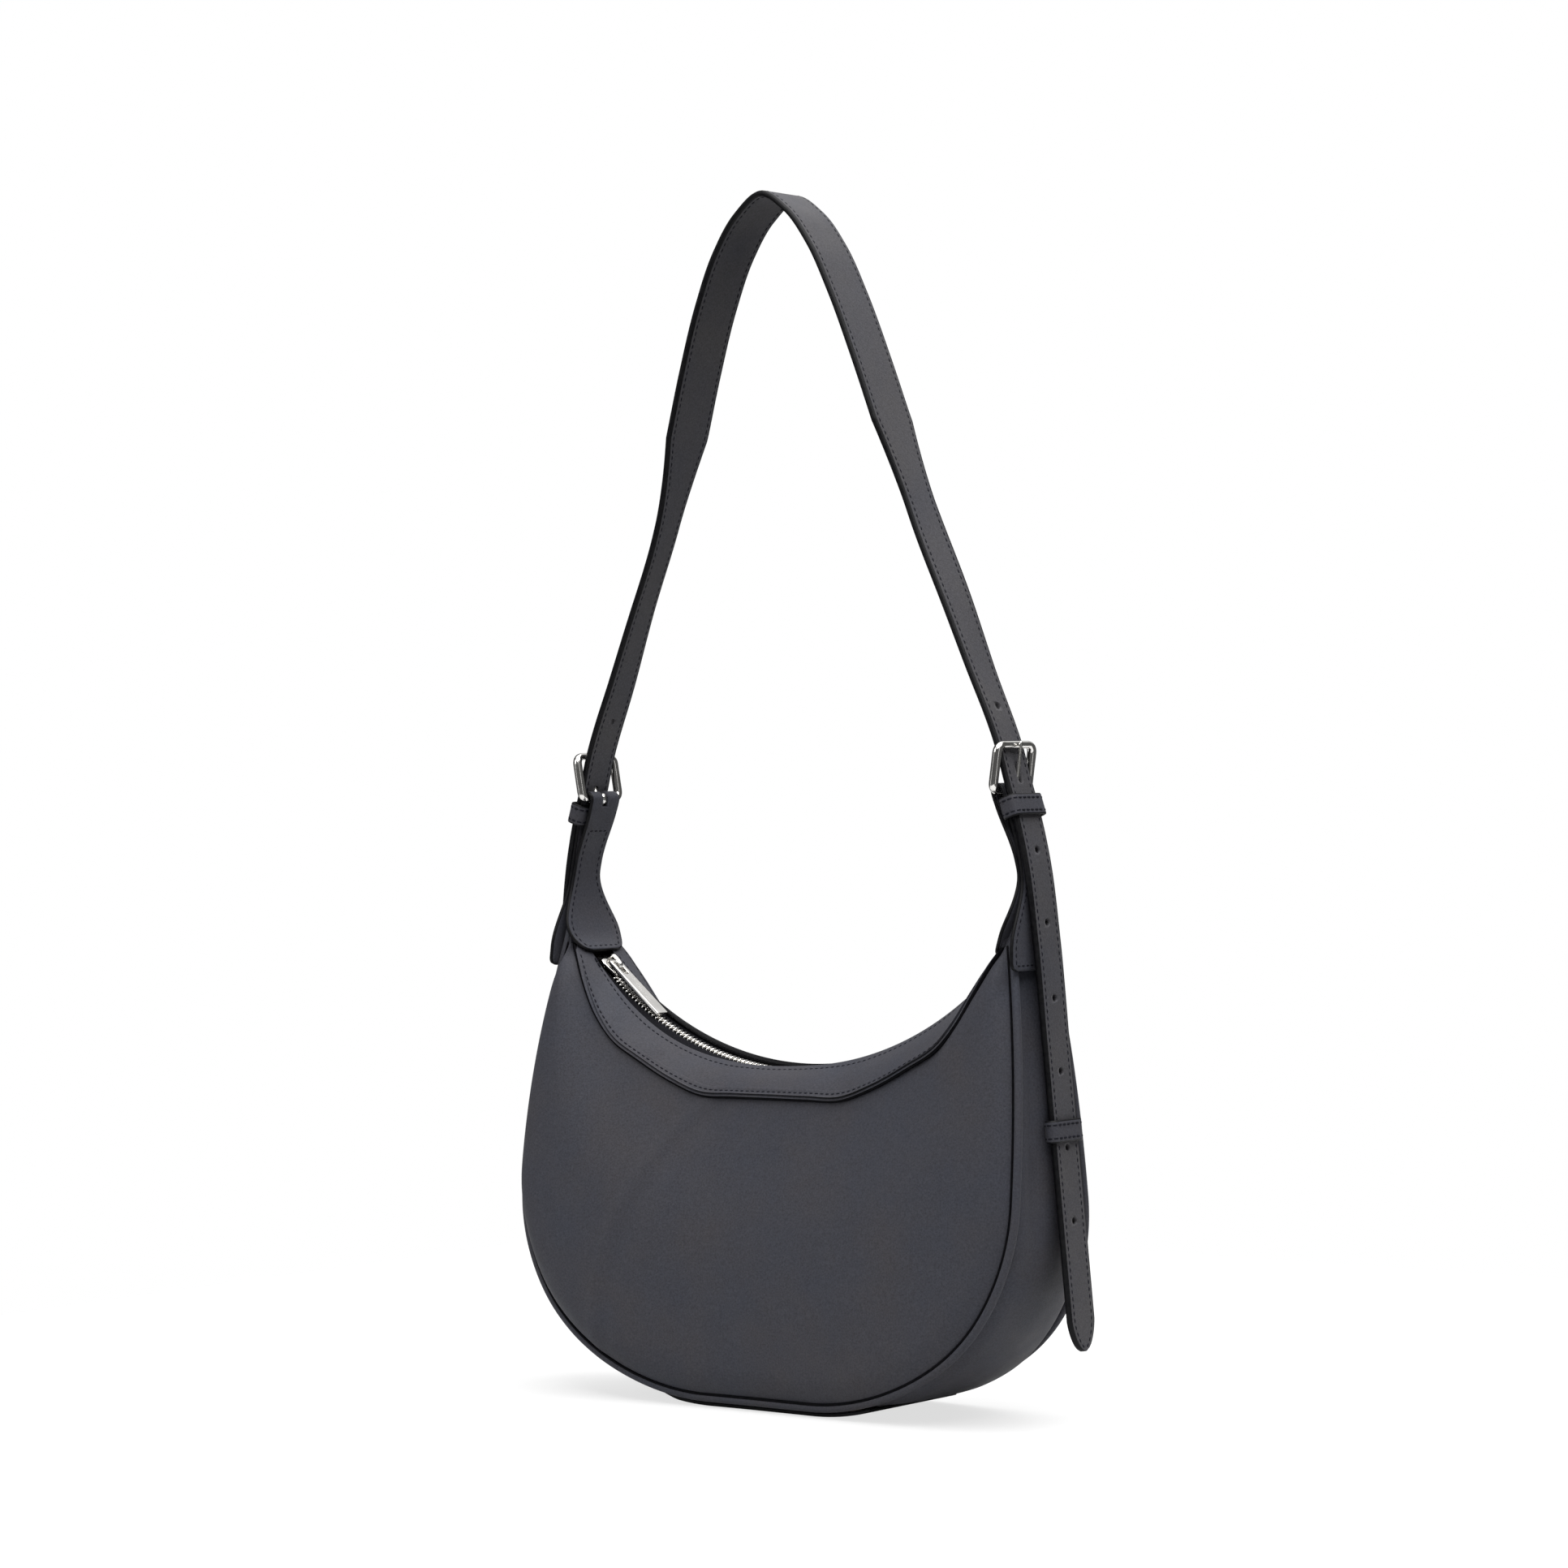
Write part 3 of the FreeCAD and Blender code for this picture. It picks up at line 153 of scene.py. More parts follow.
# Places that follow from the sizes and from the frame
horn_x = BODY_HALF_WIDTH - HORN_LEAN
zip_axis_z = joints["zip_slide"]["pos_m"][2]
zip_radius = zip_axis_z - ZIP_MID_HEIGHT
zip_end_x = horn_x - ZIP_END_INSET
zip_end_z = HORN_HEIGHT - ZIP_END_DROP
zip_end_angle = math.atan2(zip_end_x, zip_axis_z - zip_end_z)
chain_radius = zip_radius + TAPE_DEPTH + TAPE_THICK / 2
seam_end_x = horn_x - SEAM_END_INSET
seam_rise = HORN_HEIGHT - SEAM_END_DROP - SEAM_HEIGHT
heel = Vector(joints["right_prong_swing"]["pos_m"])
waist = Vector((horn_x, 0, HORN_HEIGHT + TAB_WAIST_RISE))
up_tab = (heel - waist).normalized()
out_tab = outward(up_tab)
up_frame = Vector((math.sin(BUCKLE_LEAN), 0, math.cos(BUCKLE_LEAN)))
out_frame = outward(up_frame)
top_bar = heel + up_frame * BUCKLE_PITCH
bar_radius = BUCKLE_BAR / 2
fold_radius = bar_radius + BAR_CLEARANCE + TAB_THICK / 2
leg_half = (TAB_THICK + BAR_CLEARANCE) / 2


def smooth(value):
    """A soft step from 0 to 1."""
    value = min(1.0, max(0.0, value))
    return value * value * (3 - 2 * value)


def ease(value, start, width):
    """A soft step from 0 at start to 1 a width further."""
    return smooth((value - start) / width)


def hump(value, middle, half):
    """A soft bump of height 1 about middle, gone at half away from it."""
    return 1 - smooth(abs(value - middle) / half)


def slope(a, b, c):
    """The slope at b of a smooth line through three points."""
    before, after = (b - a).length, (c - b).length
    return ((b - a) / before * after + (c - b) / after * before) / (before + after)


def curve(points, spacing):
    """Points about spacing apart along a smooth line through points."""
    points = [Vector(point) for point in points]
    ends = [points[0] * 2 - points[1]] + points + [points[-1] * 2 - points[-2]]
    dense = []
    for a, b, c, d in zip(ends, ends[1:], ends[2:], ends[3:]):
        chord = (c - b).length
        start, end = slope(a, b, c), slope(b, c, d)
        count = max(4, int(chord / spacing * 3))
        for step in range(count):
            u = step / count
            dense.append(b * (1 + 2 * u) * (1 - u) ** 2 + c * u * u * (3 - 2 * u)
                         + (start * u * (1 - u) ** 2 - end * u * u * (1 - u)) * chord)
    dense.append(points[-1])
    return resample(dense, spacing)


def table(points):
    """Points as rows of an array."""
    return np.array([tuple(point) for point in points])


def lengths_along(points):
    """The length along a line at each of its points."""
    return np.concatenate([[0.0], np.cumsum(np.linalg.norm(np.diff(table(points), axis=0), axis=1))])


def at_length(place, lengths, rows):
    """Rows of an array, read between its rows at a length or at many lengths."""
    return np.stack([np.interp(place, lengths, column) for column in rows.T], axis=-1)


def resample(points, spacing):
    """The same line with evenly spaced points."""
    lengths = lengths_along(points)
    count = max(2, int(round(lengths[-1] / spacing)) + 1)
    even = np.linspace(0, lengths[-1], count)
    return [Vector(point) for point in at_length(even, lengths, table(points))]


def tangents(points, closed=False):
    """The direction of a line at each of its points."""
    count = len(points)
    found = []
    for number in range(count):
        before = points[(number - 1) % count] if closed else points[max(0, number - 1)]
        after = points[(number + 1) % count] if closed else points[min(count - 1, number + 1)]
        found.append((after - before).normalized())
    return found


# Materials
def shader(name):
    """A new material, its shader, its node tree and coordinates that are lengths in the part's frame."""
    paint = bpy.data.materials.new(name)
    paint.use_nodes = True
    nodes = paint.node_tree.nodes
    spots = nodes.new("ShaderNodeTexCoord")
    return paint, nodes["Principled BSDF"], paint.node_tree, spots.outputs["Object"]


def put(node, values):
    """Sets sockets to values that are the same all over."""
    for name, value in values.items():
        node.inputs[name].default_value = value


def texture(tree, kind, spots, output="Fac", **values):
    """What a texture gives on the part's own coordinates."""
    node = tree.nodes.new("ShaderNodeTex" + kind)
    tree.links.new(spots, node.inputs["Vector"])
    put(node, values)
    return node.outputs[output]


def vary(tree, source, stops, socket):
    """Leads colours or values, picked by a factor, into a socket."""
    node = tree.nodes.new("ShaderNodeValToRGB")
    tree.links.new(source, node.inputs["Fac"])
    while len(node.color_ramp.elements) < len(stops):
        node.color_ramp.elements.new(0.5)
    for element, (place, colour) in zip(node.color_ramp.elements, stops):
        element.position = place
        element.color = (*colour, 1) if isinstance(colour, tuple) else (colour, colour, colour, 1)
    tree.links.new(node.outputs["Color"], socket)


def bump(tree, bsdf, heights):
    """Layers of bump: each a height socket, a strength and a distance."""
    last = None
    for height, strength, distance in heights:
        node = tree.nodes.new("ShaderNodeBump")
        put(node, {"Strength": strength, "Distance": distance})
        tree.links.new(height, node.inputs["Height"])
        if last:
            tree.links.new(last, node.inputs["Normal"])
        last = node.outputs["Normal"]
    tree.links.new(last, bsdf.inputs["Normal"])


def nubuck(name, dark, middle, warm):
    """Matte nubuck: blue-grey with cloudy blue and brown mottling and a fine nap."""
    paint, bsdf, tree, spots = shader(name)
    clouds = texture(tree, "Noise", spots, Scale=22.0, Detail=5.0, Roughness=0.62)
    nap = texture(tree, "Noise", spots, Scale=1100.0, Detail=3.0, Roughness=0.7)
    grain = texture(tree, "Voronoi", spots, "Distance", Scale=900.0)
    rub = texture(tree, "Noise", spots, Scale=60.0, Detail=3.0)
    mix = tree.nodes.new("ShaderNodeMix")
    mix.data_type = "RGBA"
    mix.blend_type = "MULTIPLY"
    mix.inputs["Factor"].default_value = 1.0
    vary(tree, clouds, [(0.32, dark), (0.52, middle), (0.70, warm)], mix.inputs["A"])
    vary(tree, nap, [(0.28, 0.55), (0.72, 1.0)], mix.inputs["B"])
    tree.links.new(mix.outputs["Result"], bsdf.inputs["Base Color"])
    vary(tree, rub, [(0.3, 0.56), (0.7, 0.70)], bsdf.inputs["Roughness"])
    put(bsdf, {"Specular IOR Level": 0.22, "Sheen Weight": 0.06, "Sheen Roughness": 0.45})
    bump(tree, bsdf, [(grain, 0.10, 0.0003), (nap, 0.22, 0.0003), (clouds, 0.10, 0.0012)])
    return paint


def edge_paint(name, shine):
    """Near-black paint on cut leather edges, a little uneven."""
    paint, bsdf, tree, spots = shader(name)
    drips = texture(tree, "Noise", spots, Scale=420.0, Detail=3.0)
    vary(tree, drips, [(0.35, (0.002, 0.002, 0.003)), (0.7, (0.005, 0.005, 0.006))],
         bsdf.inputs["Base Color"])
    vary(tree, drips, [(0.3, 0.40), (0.7, 0.54)], bsdf.inputs["Roughness"])
    put(bsdf, {"Specular IOR Level": shine})
    bump(tree, bsdf, [(drips, 0.15, 0.0005)])
    return paint


def thread_paint(name):
    """Twisted dark navy sewing thread."""
    paint, bsdf, tree, spots = shader(name)
    twist = texture(tree, "Wave", spots, Scale=900.0, Distortion=2.0)
    navy = [(0.2, (0.002, 0.0022, 0.005)), (0.8, (0.005, 0.0055, 0.012))]
    vary(tree, twist, navy, bsdf.inputs["Base Color"])
    put(bsdf, {"Roughness": 0.7, "Specular IOR Level": 0.2})
    bump(tree, bsdf, [(twist, 0.4, 0.0002)])
    return paint


def cloth(name, low, high, scale):
    """Plain woven cloth: two crossed sets of threads."""
    paint, bsdf, tree, spots = shader(name)
    mix = tree.nodes.new("ShaderNodeMath")
    mix.operation = "MULTIPLY"
    for number, direction in enumerate(("X", "Z")):
        wave = texture(tree, "Wave", spots, Scale=scale, Distortion=0.6)
        wave.node.bands_direction = direction
        tree.links.new(wave, mix.inputs[number])
    weave = mix.outputs["Value"]
    vary(tree, weave, [(0.1, low), (0.8, high)], bsdf.inputs["Base Color"])
    put(bsdf, {"Roughness": 0.85, "Specular IOR Level": 0.06})
    bump(tree, bsdf, [(weave, 0.5, 0.0003)])
    return paint


def nickel(name):
    """Polished nickel with faint hairline wear."""
    paint, bsdf, tree, spots = shader(name)
    haze = texture(tree, "Noise", spots, Scale=160.0, Detail=4.0)
    hairs = texture(tree, "Noise", spots, Scale=2600.0, Detail=2.0)
    vary(tree, haze, [(0.3, (0.76, 0.745, 0.72)), (0.7, (0.86, 0.845, 0.82))], bsdf.inputs["Base Color"])
    vary(tree, haze, [(0.3, 0.10), (0.7, 0.20)], bsdf.inputs["Roughness"])
    put(bsdf, {"Metallic": 1.0})
    bump(tree, bsdf, [(hairs, 0.04, 0.0001)])
    return paint


def fibre_board(name):
    """Brown pressed board with pale fibres."""
    paint, bsdf, tree, spots = shader(name)
    fibres = texture(tree, "Noise", spots, Scale=320.0, Detail=6.0, Roughness=0.75)
    vary(tree, fibres, [(0.3, (0.075, 0.05, 0.032)), (0.7, (0.16, 0.115, 0.078))], bsdf.inputs["Base Color"])
    put(bsdf, {"Roughness": 0.9})
    bump(tree, bsdf, [(fibres, 0.3, 0.0004)])
    return paint


leather_paint = nubuck("nubuck", (0.048, 0.051, 0.067), (0.053, 0.053, 0.065), (0.058, 0.055, 0.063))
# The strap's copy of the nubuck is lighter than the body's: partly its own tone, partly painted light for the
# brighter light its faces catch
strap_tone_and_painted_light = nubuck("nubuck_strap_tone_and_painted_light", (0.063, 0.063, 0.074), (0.069, 0.067, 0.074), (0.076, 0.073, 0.076))
black_edge = edge_paint("edge_paint", 0.16)
# The hem paint also colours the seam bead, which is partly painted shade
black_hem_and_seam_shade = edge_paint("hem_and_seam_shade_paint", 0.03)
thread = thread_paint("navy_thread")
tape_paint = cloth("zip_cloth", (0.006, 0.006, 0.008), (0.020, 0.020, 0.024), 1300.0)
lining_paint = cloth("twill", (0.030, 0.030, 0.036), (0.060, 0.058, 0.064), 700.0)
metal = nickel("nickel")
board_paint = fibre_board("pressed_board")
LEATHER = [leather_paint, black_edge]


# Mesh builders, whose where holds a piece's body, the CAD nodes it replaces and the matrix that mirrors it
SHARP_ANGLE = math.radians(40)
ROUND_END_STEPS = 8


def place_object(name, data):
    """A new object in the scene."""
    thing = bpy.data.objects.new(name, data)
    bpy.context.scene.collection.objects.link(thing)
    return thing


def new_mesh(name, verts, faces):
    """A mesh whose faces look outwards."""
    mesh = bpy.data.meshes.new(name)
    mesh.from_pydata([tuple(vert) for vert in verts], [], faces)
    skin = bmesh.new()
    skin.from_mesh(mesh)
    bmesh.ops.recalc_face_normals(skin, faces=skin.faces)
    skin.to_mesh(mesh)
    skin.free()
    return mesh


def piece(name, verts, faces, paints, picks=None, body=BODY, nodes=(), change=None):
    """A mesh object that rides on a body and may stand for CAD nodes. change mirrors it."""
    if change:
        verts = [change @ Vector(vert) for vert in verts]
        faces = [face[::-1] for face in faces]
    mesh = new_mesh(name, verts, faces)
    for paint in paints:
        mesh.materials.append(paint)
    if picks is not None:
        mesh.polygons.foreach_set("material_index", picks)
    mesh.shade_smooth()
    mesh.update()
    thing = place_object(name, mesh)
    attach(thing, body)
    if nodes:
        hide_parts(*nodes)
    return thing


def merged(parts):
    """The points and faces of many closed parts together."""
    verts = []
    faces = []
    for points, sides in parts:
        faces += [[len(verts) + corner for corner in side] for side in sides]
        verts += points
    return verts, faces


def ring_faces(rings, count, closed=False, first=0):
    """The faces of a skin through rings of count points, numbered from first, and capped unless closed."""
    faces = []
    for number in range(rings if closed else rings - 1):
        here = first + number * count
        there = first + (number + 1) % rings * count
        for k in range(count):
            after = (k + 1) % count
            faces.append([here + k, here + after, there + after, there + k])
    if not closed:
        last = first + (rings - 1) * count
        faces.append([first + k for k in range(count)][::-1])
        faces.append([last + k for k in range(count)])
    return faces


def bevel(thing, width, segments=2):
    """Rounds a piece's sharp edges."""
    step = thing.modifiers.new("rounded", "BEVEL")
    step.width = width
    step.segments = segments
    step.limit_method = "ANGLE"
    step.angle_limit = SHARP_ANGLE


def sheet(name, surface, t_span, v_span, counts, thick, flip, paints, **where):
    """A sheet of even thickness: surface gives its outer face, and its rim takes the last material.
    flip is 1 where the outer face looks along the cross product of the t and v directions, and else -1."""
    across, up = counts
    shares_t = np.linspace(t_span[0], t_span[1], across + 1)
    shares_v = np.linspace(v_span[0], v_span[1], up + 1)
    outer = np.array([[tuple(surface(t, v)) for v in shares_v] for t in shares_t])
    normal = np.cross(np.gradient(outer, axis=0), np.gradient(outer, axis=1)) * flip
    normal /= np.maximum(np.linalg.norm(normal, axis=2, keepdims=True), 1e-12)
    inner = outer - normal * thick
    verts = [Vector(point) for point in np.concatenate([outer.reshape(-1, 3), inner.reshape(-1, 3)])]
    row = up + 1
    offset = (across + 1) * row
    faces = []
    for i in range(across):
        for j in range(up):
            quad = [i * row + j, (i + 1) * row + j, (i + 1) * row + j + 1, i * row + j + 1]
            low = [offset + corner for corner in quad]
            faces += [quad, low[::-1]]
    picks = [0] * len(faces)
    rim = [i * row for i in range(across)] + [across * row + j for j in range(up)]
    rim += [i * row + up for i in range(across, 0, -1)] + [j for j in range(up, 0, -1)]
    for one, other in zip(rim, rim[1:] + rim[:1]):
        faces.append([one, offset + one, offset + other, other])
        picks.append(len(paints) - 1)
    if flip < 0:
        faces = [face[::-1] for face in faces]
    return piece(name, verts, faces, paints, picks, **where)


def sections(name, rings, paints, picks_round, closed=False, **where):
    """A skin through rings of points that all have the same count, capped at its ends unless closed."""
    verts = [vert for ring in rings for vert in ring]
    faces = ring_faces(len(rings), len(rings[0]), closed)
    picks = picks_round * (len(rings) if closed else len(rings) - 1)
    if not closed:
        picks = picks + [len(paints) - 1] * 2
    return piece(name, verts, faces, paints, picks, **where)


FACE_STEPS = 6
EDGE_STEPS = 4
LEAST_FLAT = 0.2


def band_section(half, low, high):
    """A strip's section as (across, out) pairs, with round edges, and which pairs start an edge face."""
    radius = (high - low) / 2
    middle = (high + low) / 2
    flat = max(half - radius, half * LEAST_FLAT)
    pairs = []
    edges = []
    for side in (1, -1):
        for step in range(FACE_STEPS):
            pairs.append((side * flat * (2 * step / FACE_STEPS - 1), middle + side * radius))
            edges.append(0)
        for step in range(EDGE_STEPS):
            angle = math.pi / 2 - math.pi * step / EDGE_STEPS
            pairs.append((side * (flat + radius * math.cos(angle)),
                          middle + side * radius * math.sin(angle)))
            edges.append(1)
    return pairs, edges


def strip_frames(runs, turns=None, wide=ACROSS):
    """A strip's directions out of its face and across it, at each point of its line."""
    frames = []
    for number, run in enumerate(runs):
        out, across = wide.cross(run).normalized(), wide
        if turns:
            turn = Matrix.Rotation(turns[number], 3, run)
            out, across = turn @ out, turn @ across
        frames.append((out, across))
    return frames


def band(name, spots, halves, low, high, paints, closed=False, turns=None, wide=ACROSS, **where):
    """A leather strip along spots, between two offsets from them. Its edges take the second material."""
    rings = []
    edges = None
    for spot, half, (out, across) in zip(spots, halves, strip_frames(tangents(spots, closed), turns, wide)):
        pairs, edges = band_section(half, low, high)
        rings.append([spot + across * a + out * b for a, b in pairs])
    return sections(name, rings, paints, edges, closed, **where)


def cut(thing, cutters):
    """Takes closed cutter meshes, each its points and faces, out of a piece."""
    mesh = new_mesh("cutter", *merged(cutters))
    tool = place_object("cutter", mesh)
    step = thing.modifiers.new("cut", "BOOLEAN")
    step.operation = "DIFFERENCE"
    step.solver = "EXACT"
    step.object = tool
    bpy.context.view_layer.update()
    ready = thing.evaluated_get(bpy.context.evaluated_depsgraph_get())
    done = bpy.data.meshes.new_from_object(ready)
    thing.modifiers.remove(step)
    thing.data = done
    done.shade_smooth()
    bpy.data.objects.remove(tool)
    bpy.data.meshes.remove(mesh)
    return thing


def oblong(spot, run, across, out, length, width, depth):
    """A cutter with round ends: length along run, width along across, through depth along out."""
    rim = []
    straight = (length - width) / 2
    for end in (1, -1):
        for step in range(ROUND_END_STEPS + 1):
            angle = math.pi * step / ROUND_END_STEPS - math.pi / 2
            rim.append(run * (end * (straight + width / 2 * math.cos(angle)))
                       + across * (end * width / 2 * math.sin(angle)))
    points = [spot + corner + out * side * depth for side in (-1, 1) for corner in rim]
    return points, ring_faces(2, len(rim))


def tube(name, spots, radii, paint, sides, closed=False, flat=1.0, up=ACROSS, **where):
    """A round bar along spots. flat widens its section along up."""
    rings = []
    for number, (spot, run) in enumerate(zip(spots, tangents(spots, closed))):
        across = up - run * up.dot(run)
        if across.length < 1e-6:
            across = run.orthogonal()
        across.normalize()
        other = run.cross(across)
        radius = radii[number] if isinstance(radii, list) else radii
        ring = []
        for side in range(sides):
            angle = 2 * math.pi * side / sides
            ring.append(spot + across * (radius * flat * math.cos(angle))
                        + other * (radius * math.sin(angle)))
        rings.append(ring)
    return sections(name, rings, [paint], [0] * sides, closed, **where)


STITCH_PITCH = 0.0033
STITCH_LENGTH = 0.0029
STITCH_RADIUS = 0.0006
STITCH_SINK = 0.5
STITCH_SIDES = 6
STITCH_SHARES = [(0.0, 0.25), (0.12, 0.8), (0.5, 1.0), (0.88, 0.8), (1.0, 0.25)]


def stitches(name, rows, **where):
    """Sewing along rows: each row is a line and the direction that its surface faces at each point."""
    verts = []
    faces = []
    for spots, normals in rows:
        line, outs = table(spots), table(normals)
        lengths = lengths_along(spots)
        count = max(1, int(lengths[-1] / STITCH_PITCH))
        for number in range(count):
            middle = (number + 0.5) * lengths[-1] / count
            ends = [middle - STITCH_LENGTH / 2, middle + STITCH_LENGTH / 2]
            start, end = (Vector(point) for point in at_length(ends, lengths, line))
            out = Vector(at_length(middle, lengths, outs)).normalized()
            side = (end - start).normalized().cross(out).normalized()
            faces += ring_faces(len(STITCH_SHARES), STITCH_SIDES, first=len(verts))
            for share, girth in STITCH_SHARES:
                heart = start.lerp(end, share) + out * (STITCH_RADIUS * (girth - 1 - STITCH_SINK))
                for k in range(STITCH_SIDES):
                    angle = 2 * math.pi * k / STITCH_SIDES
                    swing = side * math.cos(angle) + out * math.sin(angle)
                    verts.append(heart + swing * (girth * STITCH_RADIUS))
    return piece(name, verts, faces, [thread], **where)


# The body's surfaces
OUTLINE_STEPS = 60
NUDGE = 0.001
PROUD_HEIGHT = WIDEST_HEIGHT * 0.3


def half_outline():
    """The bag's outline from the middle of its base to the right horn, as (x, z), its run and its shares."""
    steps = OUTLINE_STEPS
    points = [(BASE_FLAT_HALF * step / steps, 0.0) for step in range(steps)]
    wide = BODY_HALF_WIDTH - BASE_FLAT_HALF
    for step in range(2 * steps):
        angle = math.pi / 2 * step / (2 * steps)
        points.append((BASE_FLAT_HALF + wide * math.sin(angle), WIDEST_HEIGHT * (1 - math.cos(angle))))
    for step in range(steps + 1):
        share = step / steps
        points.append((BODY_HALF_WIDTH - HORN_LEAN * share ** 2,
                       WIDEST_HEIGHT + (HORN_HEIGHT - WIDEST_HEIGHT) * share))
    line = np.array(points)
    lengths = lengths_along(points)
    run = np.gradient(line, lengths, axis=0)
    run /= np.linalg.norm(run, axis=1, keepdims=True)
    return line, run, lengths / lengths[-1]


OUTLINE, OUTLINE_RUN, OUTLINE_SHARES = half_outline()


def outline(t, inset):
    """A point of the outline at a signed share of its half length, moved in by inset."""
    share = abs(t)
    x, z = (np.interp(share, OUTLINE_SHARES, OUTLINE[:, k]) for k in (0, 1))
    run_x, run_z = (np.interp(share, OUTLINE_SHARES, OUTLINE_RUN[:, k]) for k in (0, 1))
    return math.copysign(1, t) * (x - run_z * inset), z + run_x * inset


def outline_share(x):
    """The share of the half outline at a distance from the middle, along the base."""
    low = 3 * OUTLINE_STEPS
    return float(np.interp(x, OUTLINE[:low, 0], OUTLINE_SHARES[:low]))


def pushed_out(t, distance):
    """A step of a given length out of the outline."""
    out_x, out_z = (a - b for a, b in zip(outline(t, -NUDGE), outline(t, 0)))
    return Vector((out_x, 0, out_z)) * (distance / NUDGE)


def half_depth(height):
    """Half the body's depth at a height."""
    share = max(0.0, (height - DEPTH_START_HEIGHT) / (HORN_HEIGHT - DEPTH_START_HEIGHT))
    return BASE_HALF_DEPTH - (BASE_HALF_DEPTH - HORN_HALF_DEPTH) * share ** DEPTH_POWER


def proud(t):
    """How far the piping stands out of the outline: nothing under the base."""
    return PIPING_PROUD * smooth(outline(t, 0)[1] / PROUD_HEIGHT)


def seam_line():
    """The yoke seam on the right, as (x, z), with shares of its length."""
    points = [(seam_end_x * x, 0, SEAM_HEIGHT + seam_rise * z) for x, z in SEAM_SHARES]
    line = [(point.x, point.z) for point in curve(points, NUDGE)]
    lengths = lengths_along(line)
    return np.array(line), lengths / lengths[-1]


SEAM, SEAM_LENGTHS = seam_line()


def seam(t):
    """A point of the front yoke seam at a signed share of its half length."""
    x, z = (np.interp(abs(t), SEAM_LENGTHS, SEAM[:, k]) for k in (0, 1))
    depth = SEAM_HALF_DEPTH - (SEAM_HALF_DEPTH - SEAM_END_HALF_DEPTH) * abs(t) ** SEAM_DEPTH_POWER
    return Vector((math.copysign(x, t), -depth, z))


# The leather's fullness
EDGE_ROLL = 0.0010
ROLL_WIDTH = 0.018
ROLL_POWER = 2.4
PUFF = 0.0030
LEFT_PUFF = 0.0025
LEFT_WIDTH = 0.12
LEFT_FORWARD = 0.0056
LEFT_FORWARD_WIDTH = 0.10
LEFT_FORWARD_HEIGHTS = (0.08, 0.19)
OVERHANG = 0.0005
LEFT_OVERHANG = 0.0062
OVERHANG_LOW = 0.4
OVERHANG_RISE = (0.06, 0.05)
OVERHANG_FADE = (0.195, 0.04)
BACK_DRAW = 0.009
BACK_DRAW_HEIGHTS = (0.10, 0.18)
BACK_PUFF = 0.0006
BASE_LIFT = 0.0024
BASE_LIFT_HEIGHT = 0.05
PANEL_LOW = -0.012
PANEL_HIGH = 1.03
ROW_POWER = 1.5
# Swells and folds
SWELL = 0.0006
SWELLS_PER_METRE = 14
RIDGE = ((0.130, 0.212), (0.098, 0.152))
RIDGE_RISE = 0.0016
RIDGE_HALF = 0.012
ARC_CENTRE = (0.075, 0.020)
ARC_RADIUS = 0.172
ARC_RISE = 0.0006
ARC_HALF = 0.007
ARC_DIP = 0.8
ARC_DIP_PLACE = (-0.009, 0.009)
ARC_START_LEFT = (0.02, 0.02)
ARC_START_UP = (0.012, 0.02)
ZIP_SAG = 0.0046
ZIP_SAG_PLACE = (-0.52, 0.62)
SAG_FORWARD = 0.4
YOKE_FULL = 0.0006
FOLD_OUT = 0.0022
FOLD_OUT_PLACE = (0.12, 0.42)
FOLD_IN = 0.0026
FOLD_IN_PLACE = (-0.55, 0.4)
FOLD_RISE = (0.06, 0.06)
FOLD_FADE = (0.17, 0.05)
FOLD_FADE_SHARE = 0.6
BELLY = 0.0052
BELLY_RISE = (0.0, 0.03)
BELLY_FADE = (0.06, 0.06)
EDGE_TUCK = 0.0032
EDGE_TUCK_WIDTH = 0.010
GUSSET_LAP_SHARE = 0.06


def side_depth(x, height, side):
    """Half the depth at a place: the front (-1) stands forward on the left, the back is flatter."""
    if side > 0:
        return half_depth(height) - BACK_DRAW * hump(height, *BACK_DRAW_HEIGHTS)
    forward = smooth(-x / LEFT_FORWARD_WIDTH) * hump(height, *LEFT_FORWARD_HEIGHTS)
    return half_depth(height) + LEFT_FORWARD * forward


def base_lift(t):
    """How far the panel's edge and the piping are lifted off the ground, by the base under them."""
    return BASE_LIFT * (1 - smooth(outline(t, 0)[1] / BASE_LIFT_HEIGHT))


def panel_point(t, v, side=-1):
    """The panel's outer face without its puff: v runs from the piping to the yoke seam."""
    x, z = outline(t, 2 * PIPING_RADIUS - proud(t) + SEWN_GAP + base_lift(t))
    low = Vector((x, -side_depth(x, z, side), z))
    high = seam(t)
    y = low.y + (high.y - low.y) * max(0.0, v) ** LEAN_POWER
    y -= PANEL_BULGE * math.sin(math.pi * min(1.0, max(0.0, v))) * (1 - t ** 4)
    point = low.lerp(high, v)
    return Vector((point.x, y, point.z))


def along(x, z, start, end):
    """How far along a straight line a place is, as a share, and its distance from the line."""
    run_x, run_z = end[0] - start[0], end[1] - start[1]
    length = math.hypot(run_x, run_z)
    share = ((x - start[0]) * run_x + (z - start[1]) * run_z) / length ** 2
    return share, ((x - start[0]) * run_z - (z - start[1]) * run_x) / length


def crease(x, z):
    """Soft swells and folds of the panel, in depth, at a place seen from the front."""
    swell = SWELL * noise.noise(Vector((x * SWELLS_PER_METRE, z * SWELLS_PER_METRE, 0.3)))
    share, aside = along(x, z, *RIDGE)
    ridge = RIDGE_RISE * hump(aside, 0.0, RIDGE_HALF) * hump(share, 0.5, 0.75)
    bend = math.hypot(x - ARC_CENTRE[0], z - ARC_CENTRE[1]) - ARC_RADIUS
    arc = ARC_RISE * (hump(bend, 0.0, ARC_HALF) - ARC_DIP * hump(bend, *ARC_DIP_PLACE))
    arc *= ease(-x, *ARC_START_LEFT) * ease(z, *ARC_START_UP)
    return swell - ridge - arc


